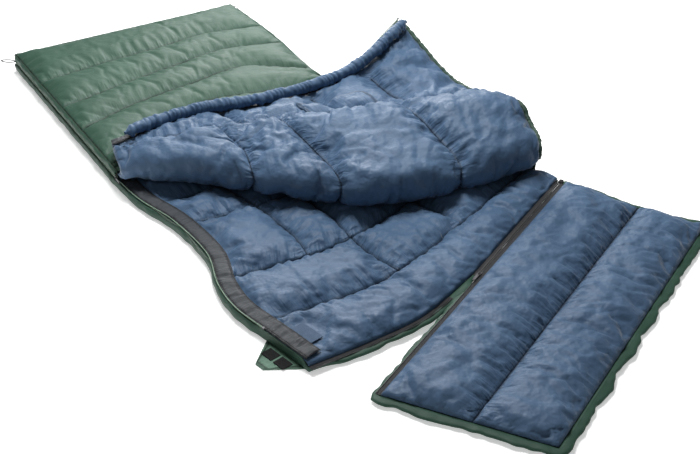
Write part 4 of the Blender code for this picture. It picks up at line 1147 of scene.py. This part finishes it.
ZIP_FAR_SHARE = 1 - 0.014 / HOOD_RUN
coil(hood_zip_line(VEE_SHARE, ZIP_FAR_SHARE, 1), "hood_zip_coil_body", "bag", BLACK_COIL, 1.4)
coil(hood_zip_line(VEE_SHARE, ZIP_FAR_SHARE, -1), "hood_zip_coil_hood", "bag", BLACK_COIL, 1.4)
coil(hood_zip_line(0, VEE_SHARE - 0.0006, -1), "hood_edge_coil", "hood", BLACK_COIL)
head_path = head_edge(np.linspace(0, 0.42, 120))
head_path = head_path + UP * head_rise(head_path)[:, None]
head_out = -path_outward(head_path)
coil(head_path + head_out * 0.0093 + UP * BOTTOM_MIDDLE, "head_coil", "bag", BLACK_COIL)

# ------------------------------------------------------------------ zip tapes, sliders, stops and trim
# Woven polyester tapes, die-cast sliders and pulls with rubbed edges, hook and loop patches, and
# black webbing loops. Their shapes are the model's own.

GREEN_TAPE = plain_cloth("green_zip_tape", (0.036, 0.074, 0.050), (0.06, 0.11, 0.08), 0.70, 420)
BLACK_TAPE = plain_cloth("black_zip_tape", (0.010, 0.010, 0.012), (0.028, 0.028, 0.032), 0.70, 420)
WEBBING = plain_cloth("black_webbing", (0.014, 0.015, 0.016), (0.04, 0.042, 0.044), 0.65, 300)


def metal(name, colour, light):
    cast = Finish(name, colour, 0.38, metallic=1.0)
    rubbed = cast.noise(cast.place(), 160.0, 4.0)
    cast.rub(rubbed, 1.6, 0.4, colour, light, 0.25, 0.3)
    cast.set("Normal", cast.bump(cast.noise(cast.place(), 700.0, 3.0), 0.0002, 0.35))
    return cast.material


def hooks(name, colour, light):
    """Hook tape: rows of stiff hooks that stand close together."""
    tape = Finish(name, colour, 0.85, specular_ior_level=0.25)
    spots = tape.node("ShaderNodeTexVoronoi", {}, {"Vector": tape.place(), "Scale": 900.0})
    tape.set("Base Color", tape.mix((spots * 1.6).held(), (*light, 1), (*colour, 1)))
    tape.set("Roughness", 0.75 + spots * 0.2)
    tape.set("Normal", tape.bump(spots, 0.0008, 0.8))
    return tape.material


GUNMETAL = metal("dark_cast_metal", (0.045, 0.045, 0.05), (0.13, 0.13, 0.14))
HOOK_TAPE = hooks("hook_tape_black", (0.008, 0.008, 0.009), (0.03, 0.03, 0.032))
LOOP_TAPE = plain_cloth("blue_loop_tape", (0.045, 0.085, 0.150), (0.085, 0.140, 0.230), 0.8, 300)
finishes = {GREEN_TAPE: ["main_tape_lower", "main_tape_upper", "flap_tape"],
            BLACK_TAPE: ["head_tape", "hood_zip_tape_body", "hood_zip_tape_hood", "hood_edge_tape"],
            GUNMETAL: ["main_stop_foot", "main_stop_head", "flap_stop", "hood_zip_box", "side_slider",
                       "side_pull", "foot_slider", "foot_pull", "hood_slider", "hood_pull"],
            HOOK_TAPE: ["tab_hook_patch_1", "tab_hook_patch_2"],
            LOOP_TAPE: ["tab_loop_patch"],
            WEBBING: ["hanging_loop_near", "hanging_loop_far"]}
for material, nodes in finishes.items():
    for node in nodes:
        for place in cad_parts[node].material_slots:
            place.material = material

# ------------------------------------------------------------------ closing tab
# A doubled flap of shell cloth that folds over the end of the zip, creased by use, with its edge
# turned in and stitched.

TAB_REACH = 0.060
TAB_WIDTH = 0.115
TAB_TIP_LEFT = 0.30
TAB_TIP_RIGHT = 0.10
TAB_LIFT = 0.0019
TAB_TOP = 0.0021
TAB_CLOTH = quilt_cloth("closing_tab_cloth", (0.10, 0.20, 0.145), (0.06, 0.13, 0.09), (0.16, 0.29, 0.215),
                        roughness=0.55, sheen=0.05, thread=(0.02, 0.05, 0.033), crinkle=0.45, drawn_in=0.5)
tab_start, tab_end = near_edge(ZIP_END_ROW), near_edge(1.0)
tab_along = unit((tab_end - tab_start) * (1, 1, 0))
tab_out = np.cross(tab_along, UP)
tab_root = lerp(tab_end, tab_start, 0.5) + tab_out * 0.0006
share_across = np.linspace(-1, 1, 41)[None]
share_out = np.linspace(0, 1, 25)[:, None]
left = -1 + share_out * (1 - TAB_TIP_LEFT)
right = 1 - share_out * (1 - TAB_TIP_RIGHT)
span = (left * (1 - share_across) + right * (1 + share_across)) / 2 * TAB_WIDTH / 2
reach = share_out * TAB_REACH + 0 * span
crumple = 0.0016 * folds(span, reach, 141, 0.06) + 0.0010 * ripple(span, reach, 143, 0.02)
tab_height = TAB_LIFT + np.maximum(crumple, -0.0008) * smooth_step(share_out * 3) * 0.6
tab_points = tab_root + tab_along * span[..., None] + tab_out * reach[..., None]
tab_points = tab_points + UP * np.minimum(tab_height, TAB_TOP)[..., None]
edge_run = np.minimum(np.minimum(share_across + 1, 1 - share_across) * 0.04, TAB_REACH - reach)
flat = np.stack([span, reach], axis=-1)
tab = grid_piece("closing_tab_cloth", tab_points, flat,
                 {"cross": np.abs(edge_run - 0.006), "lengthwise": 1 + 0 * span}, True)[0]
dressed(tab, TAB_CLOTH, ["zip_tab"], "closing_tab", thickness=0.0016)
